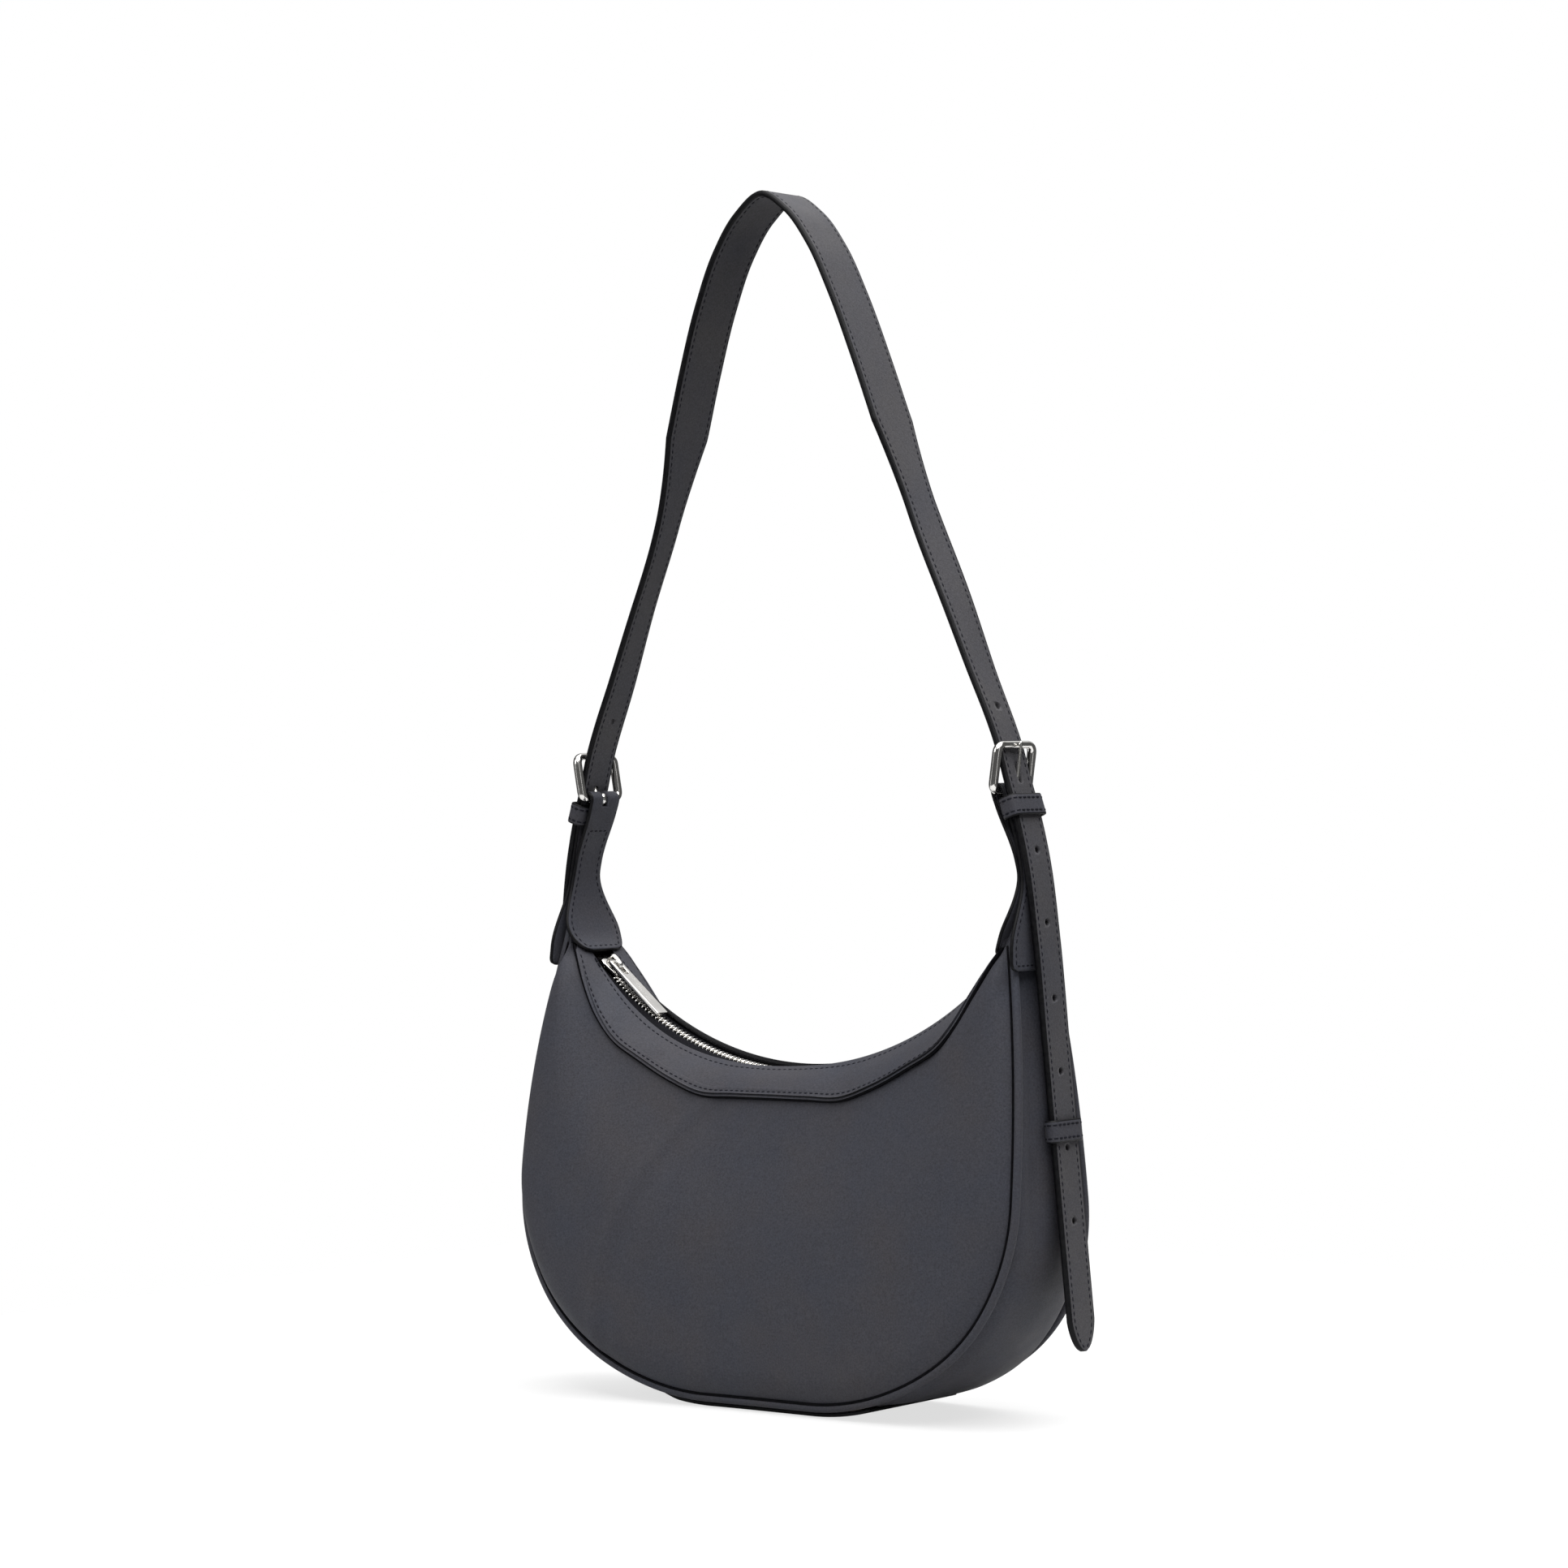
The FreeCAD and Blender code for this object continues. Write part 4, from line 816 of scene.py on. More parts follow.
def panel_surface(t, share, side):
    """The panel's outer face: it rolls up out of the seam, more so on the left, and has soft creases."""
    v = PANEL_LOW + (PANEL_HIGH - PANEL_LOW) * share ** ROW_POWER
    point = panel_point(t, v, side)
    tall = (seam(t) - panel_point(t, 0, side)).length
    rolled = min(1.0, max(0.0, v) * tall / ROLL_WIDTH)
    x, height = outline(t, 0)
    left = smooth(-x / LEFT_WIDTH)
    full = 1 - (1 - rolled) ** ROLL_POWER
    puff = (PUFF + LEFT_PUFF * left if side < 0 else BACK_PUFF) * full * smooth((1 - v) / 0.5)
    point.y += EDGE_ROLL * (1 - smooth(rolled * 1.5)) - puff
    high = OVERHANG_LOW + (1 - OVERHANG_LOW) * ease(height, *OVERHANG_RISE)
    high *= 1 - ease(height, *OVERHANG_FADE)
    over = (OVERHANG + LEFT_OVERHANG * left * high) * math.sin(math.pi * rolled) * (1 - rolled)
    point += pushed_out(t, over)
    return point + Vector((0, crease(point.x, point.z), 0))


def through(points, share):
    """A point at a share along a smooth line through a few points."""
    spans = len(points) - 1
    place = min(max(share, 0.0), 1.0) * spans
    number = min(int(place), spans - 1)
    u = place - number
    a = points[max(0, number - 1)]
    b, c = points[number], points[number + 1]
    d = points[min(spans, number + 2)]
    return (b * (2 - 5 * u * u + 3 * u ** 3) + c * (u + 4 * u * u - 3 * u ** 3)
            + a * (2 * u * u - u - u ** 3) + d * (u ** 3 - u * u)) / 2


def zip_spot(angle, radius, y):
    """A point of the zip, at an angle from its middle and a distance from its axis."""
    return Vector((radius * math.sin(angle), y, zip_axis_z - radius * math.cos(angle)))


def zip_sag(t, side):
    """How far the yoke's edge and the zip tape under it hang: only the front's, on the left."""
    return ZIP_SAG * hump(t, *ZIP_SAG_PLACE) if side < 0 else 0.0


def zip_edge(t, side):
    """A point of the yoke's edge beside the zip. The front one sags on the left, where the zip shows."""
    sag = zip_sag(t, side)
    return zip_spot(zip_end_angle * t, zip_radius + sag, -ZIP_WINDOW_HALF - SAG_FORWARD * sag)


def yoke_hem(t):
    """The yoke's lower edge on the panel, and the direction down the panel there."""
    low = seam(t)
    down = (panel_point(t, 0.97) - low).normalized()
    return low + down * YOKE_LAP + Vector((0, -PANEL_THICK, 0)), down


def yoke_surface(t, v, side):
    """The yoke's outer face: it laps over the panel's edge and is turned in at the zip."""
    low, high = seam(t), zip_edge(t, side)
    run = seam(min(t + 0.01, 1)) - seam(max(t - 0.01, -1))
    out = run.cross(high - low).normalized()
    if out.y >= 0:
        out = -out
    bow = out * (YOKE_BULGE * (1 - t * t) + YOKE_FULL)
    knee = low + Vector((0, -PANEL_THICK * 0.75, 0)) + out * (PANEL_THICK * 0.35)
    return through([yoke_hem(t)[0], knee, low.lerp(high, 0.5) + bow, high], v)


def gusset_surface(t, v):
    """The side strip's outer face: v runs from front to back. It bellies out low down and folds above."""
    x, z = outline(t, 0)
    front, back = (side_depth(x, z, side) - PIPING_RADIUS - SEWN_GAP for side in (-1, 1))
    across = 2 * v - 1
    fold = FOLD_OUT * hump(across, *FOLD_OUT_PLACE) - FOLD_IN * hump(across, *FOLD_IN_PLACE)
    fold *= ease(z, *FOLD_RISE) * (1 - FOLD_FADE_SHARE * ease(z, *FOLD_FADE))
    belly = BELLY * (1 - across ** 2) * ease(z, *BELLY_RISE) * (1 - ease(z, *BELLY_FADE))
    edge = EDGE_TUCK * (1 - smooth((1 - abs(across)) * front / EDGE_TUCK_WIDTH))
    over_base = (PANEL_THICK + SEWN_GAP) * (1 - ease(abs(t), gusset_start, GUSSET_LAP_SHARE))
    return Vector((x, back * v - front * (1 - v), z)) + pushed_out(t, fold + belly - edge - over_base)


def piping_line(t, side):
    """The piping's middle."""
    x, z = outline(t, PIPING_RADIUS - proud(t) + base_lift(t))
    return Vector((x, PIPING_RADIUS - side_depth(*outline(t, 0), side), z))


def seam_shade_line(t, side):
    """The line between the panel and the piping, where a near-black bead is partly edge paint and partly
    painted shade of the seam.
    """
    x, z = outline(t, 2 * PIPING_RADIUS - proud(t) + base_lift(t) - SEAM_BEAD_OUT)
    return Vector((x, SEAM_BEAD - side_depth(*outline(t, 0), side), z))


def base_surface(t, v):
    """The base's lower face: a strip that stops at the piping, with its left end tucked up."""
    x, z = outline(t, 0)
    front, back = (side_depth(x, z, side) - 2 * PIPING_RADIUS - SEWN_GAP for side in (-1, 1))
    tuck = (PANEL_THICK + SEWN_GAP) * smooth((-t / gusset_start - 0.75) / 0.25)
    return Vector((x, back * v - front * (1 - v), z + tuck))


def facing(surface, t, v):
    """The outward direction of a front face at one of its points."""
    run = surface(t + 0.004, v) - surface(t - 0.004, v)
    rise = surface(t, v + 0.02) - surface(t, v - 0.02)
    out = run.cross(rise).normalized()
    return out if out.y < 0 else -out


def offset_in(surface, depth):
    """The same surface moved towards the bag's middle."""
    return lambda t, v: surface(t, v) + ACROSS * depth


# Panels, yokes, side strips and base
ENDS = (-SHELL_END_SHARE, SHELL_END_SHARE)
gusset_start = outline_share(BASE_HALF_LENGTH + SEWN_GAP)
EDGE_BEAD = 0.0011
SEAM_BEAD = 0.0007
SEAM_BEAD_OUT = 0.0002
BEAD_DROP = 0.0003
YOKE_ROUNDING = 0.0004
BASE_ROUNDING = 0.0005
YOKE_ROWS = (0.425, 0.875)
YOKE_ROW_END = 0.95
LINING_IN = 0.0032
LINING_THICK = 0.0008
POCKET_IN = 0.0015
FULL = (0, 1)
rim_places = np.linspace(*ENDS, 400)
row_places = np.linspace(-YOKE_ROW_END, YOKE_ROW_END, 300)

for side_name, side, change in SIDES:
    yoke_face = partial(yoke_surface, side=side)
    inside_face = partial(panel_point, side=side)
    sheet(side_name + "_panel_leather", partial(panel_surface, side=side), ENDS, FULL, (280, 90), PANEL_THICK,
          1, [leather_paint], nodes=[side_name + "_panel"], change=change)
    yoke = sheet(side_name + "_yoke_leather", yoke_face, ENDS, FULL, (280, 26), PANEL_THICK, 1, LEATHER,
                 nodes=[side_name + "_yoke"], change=change)
    bevel(yoke, YOKE_ROUNDING)
    bead_in = ACROSS * (PANEL_THICK / 2)
    bead = [hem + down * BEAD_DROP + bead_in for hem, down in map(yoke_hem, rim_places)]
    tube(side_name + "_yoke_edge", bead, EDGE_BEAD, black_hem_and_seam_shade, 10, change=change)
    # A near-black bead in the seam: partly edge paint, partly painted shade between the panel and the piping
    tube(side_name + "_panel_edge_and_seam_shade", [seam_shade_line(t, side) for t in rim_places], SEAM_BEAD, black_hem_and_seam_shade, 8,
         change=change)
    rows = []
    for v in YOKE_ROWS:
        rows.append(([yoke_face(t, v) for t in row_places], [facing(yoke_face, t, v) for t in row_places]))
    stitches(side_name + "_yoke_stitching", rows, change=change)
    sheet(side_name + "_lining_cloth", offset_in(inside_face, LINING_IN), (-0.8, 0.8), (0.06, 0.96), (120, 40),
          LINING_THICK, 1, [lining_paint], nodes=[side_name + "_lining"], change=change)
    if side > 0:
        sheet("slip_pocket_cloth", offset_in(inside_face, LINING_IN + POCKET_IN), (-0.22, 0.22), (0.25, 0.75),
              (60, 40), LINING_THICK, 1, [lining_paint], nodes=["slip_pocket"], change=change)

for side_name, span in (("left", (ENDS[0], -gusset_start)), ("right", (gusset_start, ENDS[1]))):
    sheet(side_name + "_gusset_leather", gusset_surface, span, FULL, (140, 40), PANEL_THICK, -1,
          [leather_paint], nodes=[side_name + "_gusset"])
base = sheet("base_leather", base_surface, (-gusset_start, gusset_start), FULL, (80, 30), PANEL_THICK, -1,
             LEATHER, nodes=["base_panel"])
bevel(base, BASE_ROUNDING)


# The zip's pieces
TAPE_OUTER = 0.0105
TAPE_INNER = 0.0030
TOOTH_WIDTH = 0.00115
TOOTH_RINGS = [(TOOTH_FOOT, 0.55, 0.80), (TOOTH_FOOT * 0.55, 0.62, 0.95), (0.0004, 1.0, 1.0),
               (-TOOTH_REACH * 0.6, 0.95, 0.92), (-TOOTH_REACH, 0.6, 0.62)]
TOOTH_CORNERS = [(-1, -0.7), (-0.7, -1), (0.7, -1), (1, -0.7), (1, 0.7), (0.7, 1), (-0.7, 1), (-1, 0.7)]
SLIDER_GAP = 0.0066
STOP_GAP = 0.004

pull_pivot = Vector(joints["pull_swing"]["pos_m"])
slider_angle = math.atan2(pull_pivot.x, zip_axis_z - pull_pivot.z)
tooth_start = slider_angle + SLIDER_GAP / chain_radius
tooth_end = zip_end_angle - STOP_GAP / chain_radius
tooth_count = int((tooth_end - tooth_start) * chain_radius / TOOTH_PITCH)


def zip_directions(angle):
    """The directions along the zip and up out of it, at an angle from its middle."""
    run = Vector((math.cos(angle), 0, math.sin(angle)))
    return run, Vector((-run.z, 0, run.x))


def tooth(angle, side):
    """One zip tooth, a block with a rounded head, as points and faces. side is -1 for the front half."""
    run, up = zip_directions(angle)
    points = []
    for y, width, height in TOOTH_RINGS:
        middle = zip_spot(angle, chain_radius, side * y)
        for a, b in TOOTH_CORNERS:
            points.append(middle + run * (a * width * TOOTH_WIDTH / 2)
                          + up * (b * height * TOOTH_HEIGHT / 2))
    faces = ring_faces(len(TOOTH_RINGS), len(TOOTH_CORNERS))
    # The order of the foot's corners decides how its flat face is split into triangles
    faces[-2].reverse()
    return points, faces


def tape_surface(t, v, side):
    """The zip tape's upper face on one side."""
    sag = zip_sag(t, side) * v
    return zip_spot(zip_end_angle * t, chain_radius - TAPE_THICK / 2 + sag,
                    side * (TAPE_INNER + (TAPE_OUTER - TAPE_INNER) * v + SAG_FORWARD * sag))


for side_name, side, _ in SIDES:
    tape = sheet("zip_tape_" + side_name + "_cloth", partial(tape_surface, side=side), (-0.99, 0.99), FULL,
                 (160, 6), TAPE_THICK, side, [tape_paint], nodes=["zip_tape_" + side_name])
    shift = TOOTH_PITCH / 2 / chain_radius if side > 0 else 0.0
    angles = [tooth_start + shift + TOOTH_PITCH / chain_radius * number for number in range(tooth_count)]
    chain = merged([tooth(angle, side) for angle in angles])
    teeth = piece("zip_teeth_" + side_name + "_row", *chain, [metal], nodes=["zip_teeth_" + side_name])
    for thing in (tape, teeth):
        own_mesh(thing)


def plate(name, rim, low, high, place, **where):
    """A flat plate: its rim as pairs in its own plane, between two heights."""
    points = [place @ Vector((a, b, height)) for height in (low, high) for a, b in rim]
    return piece(name, points, ring_faces(2, len(rim)), [metal], **where)


def round_rim(half_long, half_wide, corner, steps=6):
    """A rectangle's rim with round corners, as pairs."""
    rim = []
    for turn in range(4):
        end = 1 if turn in (0, 3) else -1
        side = 1 if turn in (0, 1) else -1
        for step in range(steps + 1):
            angle = math.pi / 2 * (turn + step / steps)
            rim.append((end * (half_long - corner) + corner * math.cos(angle),
                        side * (half_wide - corner) + corner * math.sin(angle)))
    return rim


def set_frame(origin, run, across, up):
    """A matrix that carries (along, across, up) to a place in the part."""
    place = Matrix((run, across, up)).transposed().to_4x4()
    place.translation = origin
    return place


SLIDER_LENGTH = 0.012
SLIDER_HALF_WIDTH = 0.005
SLIDER_SHARES = [(1, 0.58), (0.55, 0.70), (0.0, 0.86), (-0.45, 1.0), (-0.8, 0.92), (-1, 0.62)]
SLIDER_PLATE = 0.0014
SLIDER_CLEARANCE = 0.0004
PLATE_ROUNDING = 0.0004
POST_ROUNDING = 0.0002
ROUND_STEPS = 3
BRIDGE_LENGTH = 0.010
BRIDGE_WIDTH = 0.0024
BRIDGE_BAR = 0.0016
BRIDGE_GAP = 0.0036
BRIDGE_DIP = 0.0003
BRIDGE_SPACING = 0.0005
PULL_LENGTH = 0.041
PULL_WIDTH = 0.0076
PULL_THICK = 0.0022
PULL_CORNER = 0.0007
PULL_SLOT_LENGTH = 0.0086
PULL_SLOT_WIDTH = 0.0036

slider_run, slider_up = zip_directions(slider_angle)
slider_place = set_frame(zip_spot(slider_angle, chain_radius, 0), slider_run, ACROSS, slider_up)
plate_low = TOOTH_HEIGHT / 2 + SLIDER_CLEARANCE
plate_high = plate_low + SLIDER_PLATE
pull_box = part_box("zip_pull")
pull_tip = Vector((pull_box[1].x, 0, pull_box[0].z))
pull_run = (pull_tip - pull_pivot).normalized()
pull_up = Vector((-pull_run.z, 0, pull_run.x))
pull_place = set_frame(pull_pivot, pull_run, ACROSS, pull_up)


def slider():
    """The zip slider: two plates, the post between them and the bridge that holds the pull."""
    rim = [(SLIDER_LENGTH / 2 * x, SLIDER_HALF_WIDTH * y) for x, y in SLIDER_SHARES]
    rim += [(x, -y) for x, y in rim[::-1]]
    post = [(x * 0.16 - SLIDER_LENGTH * 0.37, y * 0.35) for x, y in rim]
    for name, shape, low, high, rounding, nodes in (
            ("top_plate", rim, plate_low, plate_high, PLATE_ROUNDING, ["zip_slider"]),
            ("low_plate", rim, -plate_high, -plate_low, PLATE_ROUNDING, ()),
            ("post", post, -plate_low, plate_low, POST_ROUNDING, ())):
        part = plate("zip_slider_" + name, shape, low, high, slider_place, body="zip_slider", nodes=nodes)
        bevel(part, rounding, ROUND_STEPS)
    half = (BRIDGE_LENGTH - BRIDGE_BAR) / 2
    rise = plate_high + BRIDGE_GAP + BRIDGE_BAR / 2
    leg = [(half, plate_high - BRIDGE_BAR / 2), (half, plate_high + BRIDGE_GAP * 0.6),
           (half * 0.8, rise - BRIDGE_DIP), (half * 0.4, rise)]
    arch = [(-x, z) for x, z in leg] + leg[::-1]
    line = curve([slider_place @ Vector((x, 0, z)) for x, z in arch], BRIDGE_SPACING)
    tube("zip_slider_bridge", line, BRIDGE_BAR / 2, metal, 14, flat=BRIDGE_WIDTH / BRIDGE_BAR,
         body="zip_slider")


def pull():
    """The flat pull: a bar with a slot at its head for the bridge."""
    half = PULL_LENGTH / 2
    rim = [(x + half - PULL_THICK / 2, y) for x, y in round_rim(half, PULL_WIDTH / 2, PULL_CORNER)]
    bar = plate("zip_pull_bar", rim, -PULL_THICK / 2, PULL_THICK / 2, pull_place, body="zip_pull",
                nodes=["zip_pull"])
    head = pull_place @ Vector((PULL_THICK / 2 + PULL_SLOT_LENGTH / 2, 0, 0))
    slot = oblong(head, pull_run, ACROSS, pull_up, PULL_SLOT_LENGTH, PULL_SLOT_WIDTH, PULL_THICK)
    bevel(cut(bar, [slot]), PLATE_ROUNDING, ROUND_STEPS)


slider()
pull()
for node, paint in (("zip_stops", metal), ("base_board", board_paint)):
    frame["nodes"][node].data.materials.clear()
    frame["nodes"][node].data.materials.append(paint)


# Tabs
BEND_STEPS = 6
FOLD_STEPS = 16
LINE_SPACING = 0.0012


def bezier(poles, share):
    """A point of a cubic curve."""
    a, b, c, d = poles
    u = share
    return a * (1 - u) ** 3 + b * (3 * u * (1 - u) ** 2) + c * (3 * u * u * (1 - u)) + d * u ** 3


def tab_line():
    """The right tab's middle line: inner leg on the zip's end, fold over the heel bar, outer leg."""
    run, up = zip_directions(zip_end_angle)
    start = Vector((zip_end_x, 0, zip_end_z)) + up * (2 * SEWN_GAP + TAB_THICK / 2) - run * (2 * TAB_THICK)
    leg_end = start + run * (TAB_INNER_LENGTH * 0.6)
    inner_waist = waist - out_tab * leg_half
    poles = [leg_end, leg_end + run * (inner_waist.x - leg_end.x),
             inner_waist - up_tab * ((inner_waist.z - leg_end.z) * 0.4), inner_waist]
    points = [start] + [bezier(poles, step / BEND_STEPS) for step in range(BEND_STEPS + 1)]
    points.append(heel - out_tab * fold_radius - up_tab * (2 * fold_radius))
    for step in range(FOLD_STEPS + 1):
        angle = math.pi * step / FOLD_STEPS
        points.append(heel + (up_tab * math.sin(angle) - out_tab * math.cos(angle)) * fold_radius)
    points.append(heel + out_tab * fold_radius - up_tab * (2 * fold_radius))
    points.append(waist + out_tab * leg_half)
    end_z = HORN_HEIGHT - TAB_OUTER_DROP
    share = (end_z - WIDEST_HEIGHT) / (HORN_HEIGHT - WIDEST_HEIGHT)
    end_x = BODY_HALF_WIDTH - HORN_LEAN * share ** 2 + PIPING_PROUD + SEWN_GAP + TAB_THICK / 2
    points.append(Vector((end_x, -TAB_OUTER_SHIFT, end_z)))
    return curve(points, LINE_SPACING)


TAB_LINE = tab_line()
TAB_LENGTHS = lengths_along(TAB_LINE)
tab_length = TAB_LENGTHS[-1]


def rounded(length, radius):
    """How far a round end has reached its full width, at a length from its tip."""
    return math.sqrt(max(0.0, 1 - (1 - min(1.0, length / radius)) ** 2))


def tab_half(length):
    """Half the tab's width: round inner end, waist, fold and wide outer end."""
    from_end = tab_length - length
    if length < from_end:
        wide = TAB_INNER_HALF * (0.5 + 0.5 * rounded(length, TAB_INNER_HALF))
        rise = length - TAB_INNER_LENGTH
    else:
        wide = TAB_OUTER_HALF - TAB_OUTER_CORNER * (1 - rounded(from_end, TAB_OUTER_CORNER))
        rise = from_end - TAB_OUTER_HALF / 2
    half = wide + (TAB_WAIST_HALF - wide) * smooth(rise / TAB_WAIST_RISE)
    middle = 1 - abs(length - from_end) / (2 * (heel.z - HORN_HEIGHT) - 2 * TAB_WAIST_RISE)
    return half + (TAB_FOLD_HALF - TAB_WAIST_HALF) * smooth(middle)


TAB_HALVES = [tab_half(length) for length in TAB_LENGTHS]
STITCH_INSET = 0.0033


def edge_rows(spots, halves, height, span, turns=None, cross=()):
    """Sewing lines near both edges of a strip's face at a height from its line, and rows across it."""
    frames = strip_frames(tangents(spots), turns)
    normals = [out * math.copysign(1, height) for out, _ in frames]
    numbers = range(span[0], span[1] + 1)

    def sewn(number, share):
        """A place on the face, at a share of the way from the middle to a row."""
        out, across = frames[number]
        return spots[number] + across * (share * (halves[number] - STITCH_INSET)) + out * height

    rows = []
    for side in (-1, 1):
        rows.append(([sewn(number, side) for number in numbers], [normals[number] for number in numbers]))
    for number in cross:
        line = [sewn(number, share) for share in np.linspace(-1, 1, 9)]
        rows.append((line, [normals[number]] * len(line)))
    return rows


def nearest(lengths, length):
    """The number of the point nearest to a length along a line."""
    return int(np.argmin([abs(place - length) for place in lengths]))


PRONG_SLOT = 0.0046
PRONG_SLOT_LENGTH = 0.012
PRONG_SLOT_DEPTH = 0.0045
FOLD_UNSEWN = 0.021
END_UNSEWN = 2
fold_middle = nearest([(spot - heel - up_tab * fold_radius).length for spot in TAB_LINE], 0.0)
inner_top, outer_top = (nearest(TAB_LENGTHS, TAB_LENGTHS[fold_middle] + way * FOLD_UNSEWN)
                        for way in (-1, 1))
tab_rows = []
for span in ((END_UNSEWN, inner_top), (outer_top, len(TAB_LINE) - 1 - END_UNSEWN)):
    tab_rows += edge_rows(TAB_LINE, TAB_HALVES, -TAB_THICK / 2, span, cross=span)
for side_name, change in HANDS:
    tab = band(side_name + "_tab_leather", TAB_LINE, TAB_HALVES, -TAB_THICK / 2, TAB_THICK / 2, LEATHER,
               nodes=[side_name + "_tab"], change=change)
    turn = (change or Matrix.Identity(4)).to_3x3()
    slot = oblong(turn @ (heel + up_tab * fold_radius * 0.5), turn @ out_tab, ACROSS, turn @ up_tab,
                  PRONG_SLOT_LENGTH, PRONG_SLOT, PRONG_SLOT_DEPTH)
    cut(tab, [slot])
    stitches(side_name + "_tab_stitching", tab_rows, change=change)

# The piping's ends and the horns' corners, drawn up between the tabs' legs
HORN_TIP_HEIGHT = 0.245
HORN_TIP_FORWARD = 0.0075
HORN_END = SHELL_END_SHARE - 0.004
PIPING_GAP_SHARE = 0.35
PIPING_END = np.linspace(0.1, 0.8, 8)
PIPING_THINNER = 0.75
legs = [spot.x for spot in TAB_LINE if abs(spot.z - HORN_TIP_HEIGHT) < LINE_SPACING]
leg_gap = max(legs) - min(legs)


def horn_tip(hand, share):
    """A point between the tab's legs, at a share of the gap from the outer leg."""
    return Vector((hand * (max(legs) - leg_gap * share), -HORN_TIP_FORWARD, HORN_TIP_HEIGHT))


def horn_face(t, v, hand, side):
    """A horn's corner, drawn up between the tab's legs: t runs from the piping to the yoke, v upwards."""
    if t < 0.25:
        edge = panel_surface(hand * HORN_END, 0, side)
        foot = piping_line(hand * HORN_END, side).lerp(edge, 4 * t)
    elif t < 0.7:
        foot = panel_surface(hand * HORN_END, (t - 0.25) / 0.45, side)
    else:
        foot = yoke_surface(hand * HORN_END, 2 * t - 1.4, side)
    return foot.lerp(horn_tip(hand, 0.2 + 0.3 * t), v)


thinner = [PIPING_RADIUS * (1 - PIPING_THINNER * share) for share in PIPING_END]
for side_name, side, change in SIDES:
    spots = [piping_line(t, side) for t in rim_places]
    left_end = [spots[0].lerp(horn_tip(-1, PIPING_GAP_SHARE), share) for share in PIPING_END[::-1]]
    right_end = [spots[-1].lerp(horn_tip(1, PIPING_GAP_SHARE), share) for share in PIPING_END]
    radii = thinner[::-1] + [PIPING_RADIUS] * len(spots) + thinner
    tube(side_name + "_piping_cord", left_end + spots + right_end, radii, leather_paint, 14,
         nodes=[side_name + "_piping"], change=change)
for hand_name, hand in (("right", 1), ("left", -1)):
    for side_name, side, change in SIDES:
        sheet(hand_name + "_horn_" + side_name, partial(horn_face, hand=hand, side=side), FULL, FULL, (24, 12),
              PANEL_THICK * 0.5, -hand, [leather_paint], change=change)


# Strap
STRAP_SPACING = 0.0013
WIDENING_POWER = 1.6
TIP_SHARE = 0.08
STRAP_TWIST = math.radians(10)
STRAP_TWIST_PLACE = (0.38, 0.26)
PRONG_THICK = 0.0022
PRONG_WAY = 0.0034
PRONG_SWING = math.radians(10)
WAY_HEIGHTS = (-0.003, 0.015)
WAY_STEPS = 20
STRAP_HOLE = 0.0036
TAIL_HOLES = 6
prong_offset = bar_radius + BAR_CLEARANCE + PRONG_THICK / 2


def strap_side():
    """The strap's middle line on the right, from the tail's tip up to the last point before the top."""
    tip = Vector((horn_x + TAIL_TIP_OUT, 0, TAIL_TIP_HEIGHT))
    tail_top = Vector((horn_x + TAIL_TOP_OUT, 0, HORN_HEIGHT - TAIL_TOP_DROP))
    points = [tip.lerp(tail_top, step / TAIL_STEPS) for step in range(TAIL_STEPS + 1)]
    over_tab = TAB_THICK / 2 + SEWN_GAP + STRAP_THICK / 2
    spare = GLUE_GAP * 2
    points.append(waist + out_tab * (leg_half + over_tab + spare))
    over_heel = fold_radius + over_tab + spare
    points.append(heel + out_tab * over_heel - up_tab * (FIXED_KEEPER_DROP / 2))
    points.append(heel + out_tab * over_heel)
    under_top = bar_radius + BAR_CLEARANCE + STRAP_THICK / 2 + spare
    points.append(top_bar - out_tab * under_top)
    for x_share, z_share in ARCH_SHARES:
        points.append(Vector((heel.x * x_share, 0, heel.z + STRAP_TOP_RISE * z_share)))
    return points


def leaned(point):
    """Moves a point of the arch by the strap's slight lean to the left."""
    rise = (point.z - heel.z) / STRAP_TOP_RISE
    return point - Vector((STRAP_LEAN * ease(rise, LEAN_START, LEAN_SHARE), 0, 0))


def strap_half(spot):
    """Half the strap's width: wide shoulder, narrow sides, pointed tails."""
    share = (spot.z - heel.z - SHOULDER_LOW_RISE) / (SHOULDER_HIGH_RISE - SHOULDER_LOW_RISE)
    widened = min(1.0, max(0.0, share)) ** WIDENING_POWER
    half = STRAP_NARROW_HALF + (STRAP_WIDE_HALF - STRAP_NARROW_HALF) * widened
    from_tip = min(1.0, max(0.0, (spot.z - TAIL_TIP_HEIGHT) / TAIL_POINT_LENGTH))
    point = 0.6 * math.sqrt(1 - (1 - from_tip) ** 2) + 0.4 * from_tip ** 0.6
    return half * (TIP_SHARE + (1 - TIP_SHARE) * point)


def strap_turn(spot):
    """A slight turn of the strap's sides towards the front."""
    return STRAP_TWIST * hump((spot.z - heel.z) / STRAP_TOP_RISE, *STRAP_TWIST_PLACE)


RIGHT_POINTS = strap_side()
LEFT_POINTS = [Vector((-point.x, 0, point.z)) for point in RIGHT_POINTS]
strap_top = Vector((0, 0, heel.z + STRAP_TOP_RISE))
STRAP_LINE = curve([leaned(point) for point in LEFT_POINTS + [strap_top] + RIGHT_POINTS[::-1]],
                   STRAP_SPACING)
STRAP_LENGTHS = lengths_along(STRAP_LINE)
STRAP_RUNS = tangents(STRAP_LINE)
STRAP_HALVES = [strap_half(spot) for spot in STRAP_LINE]
STRAP_TURNS = [strap_turn(spot) for spot in STRAP_LINE]


def prong_crossing():
    """The length along the strap at which the right prong's line goes through it."""
    for length, spot in zip(STRAP_LENGTHS[::-1], STRAP_LINE[::-1]):
        if spot.z > heel.z and (spot - heel).dot(out_frame) < prong_offset:
            return length
    return STRAP_LENGTHS[-1]


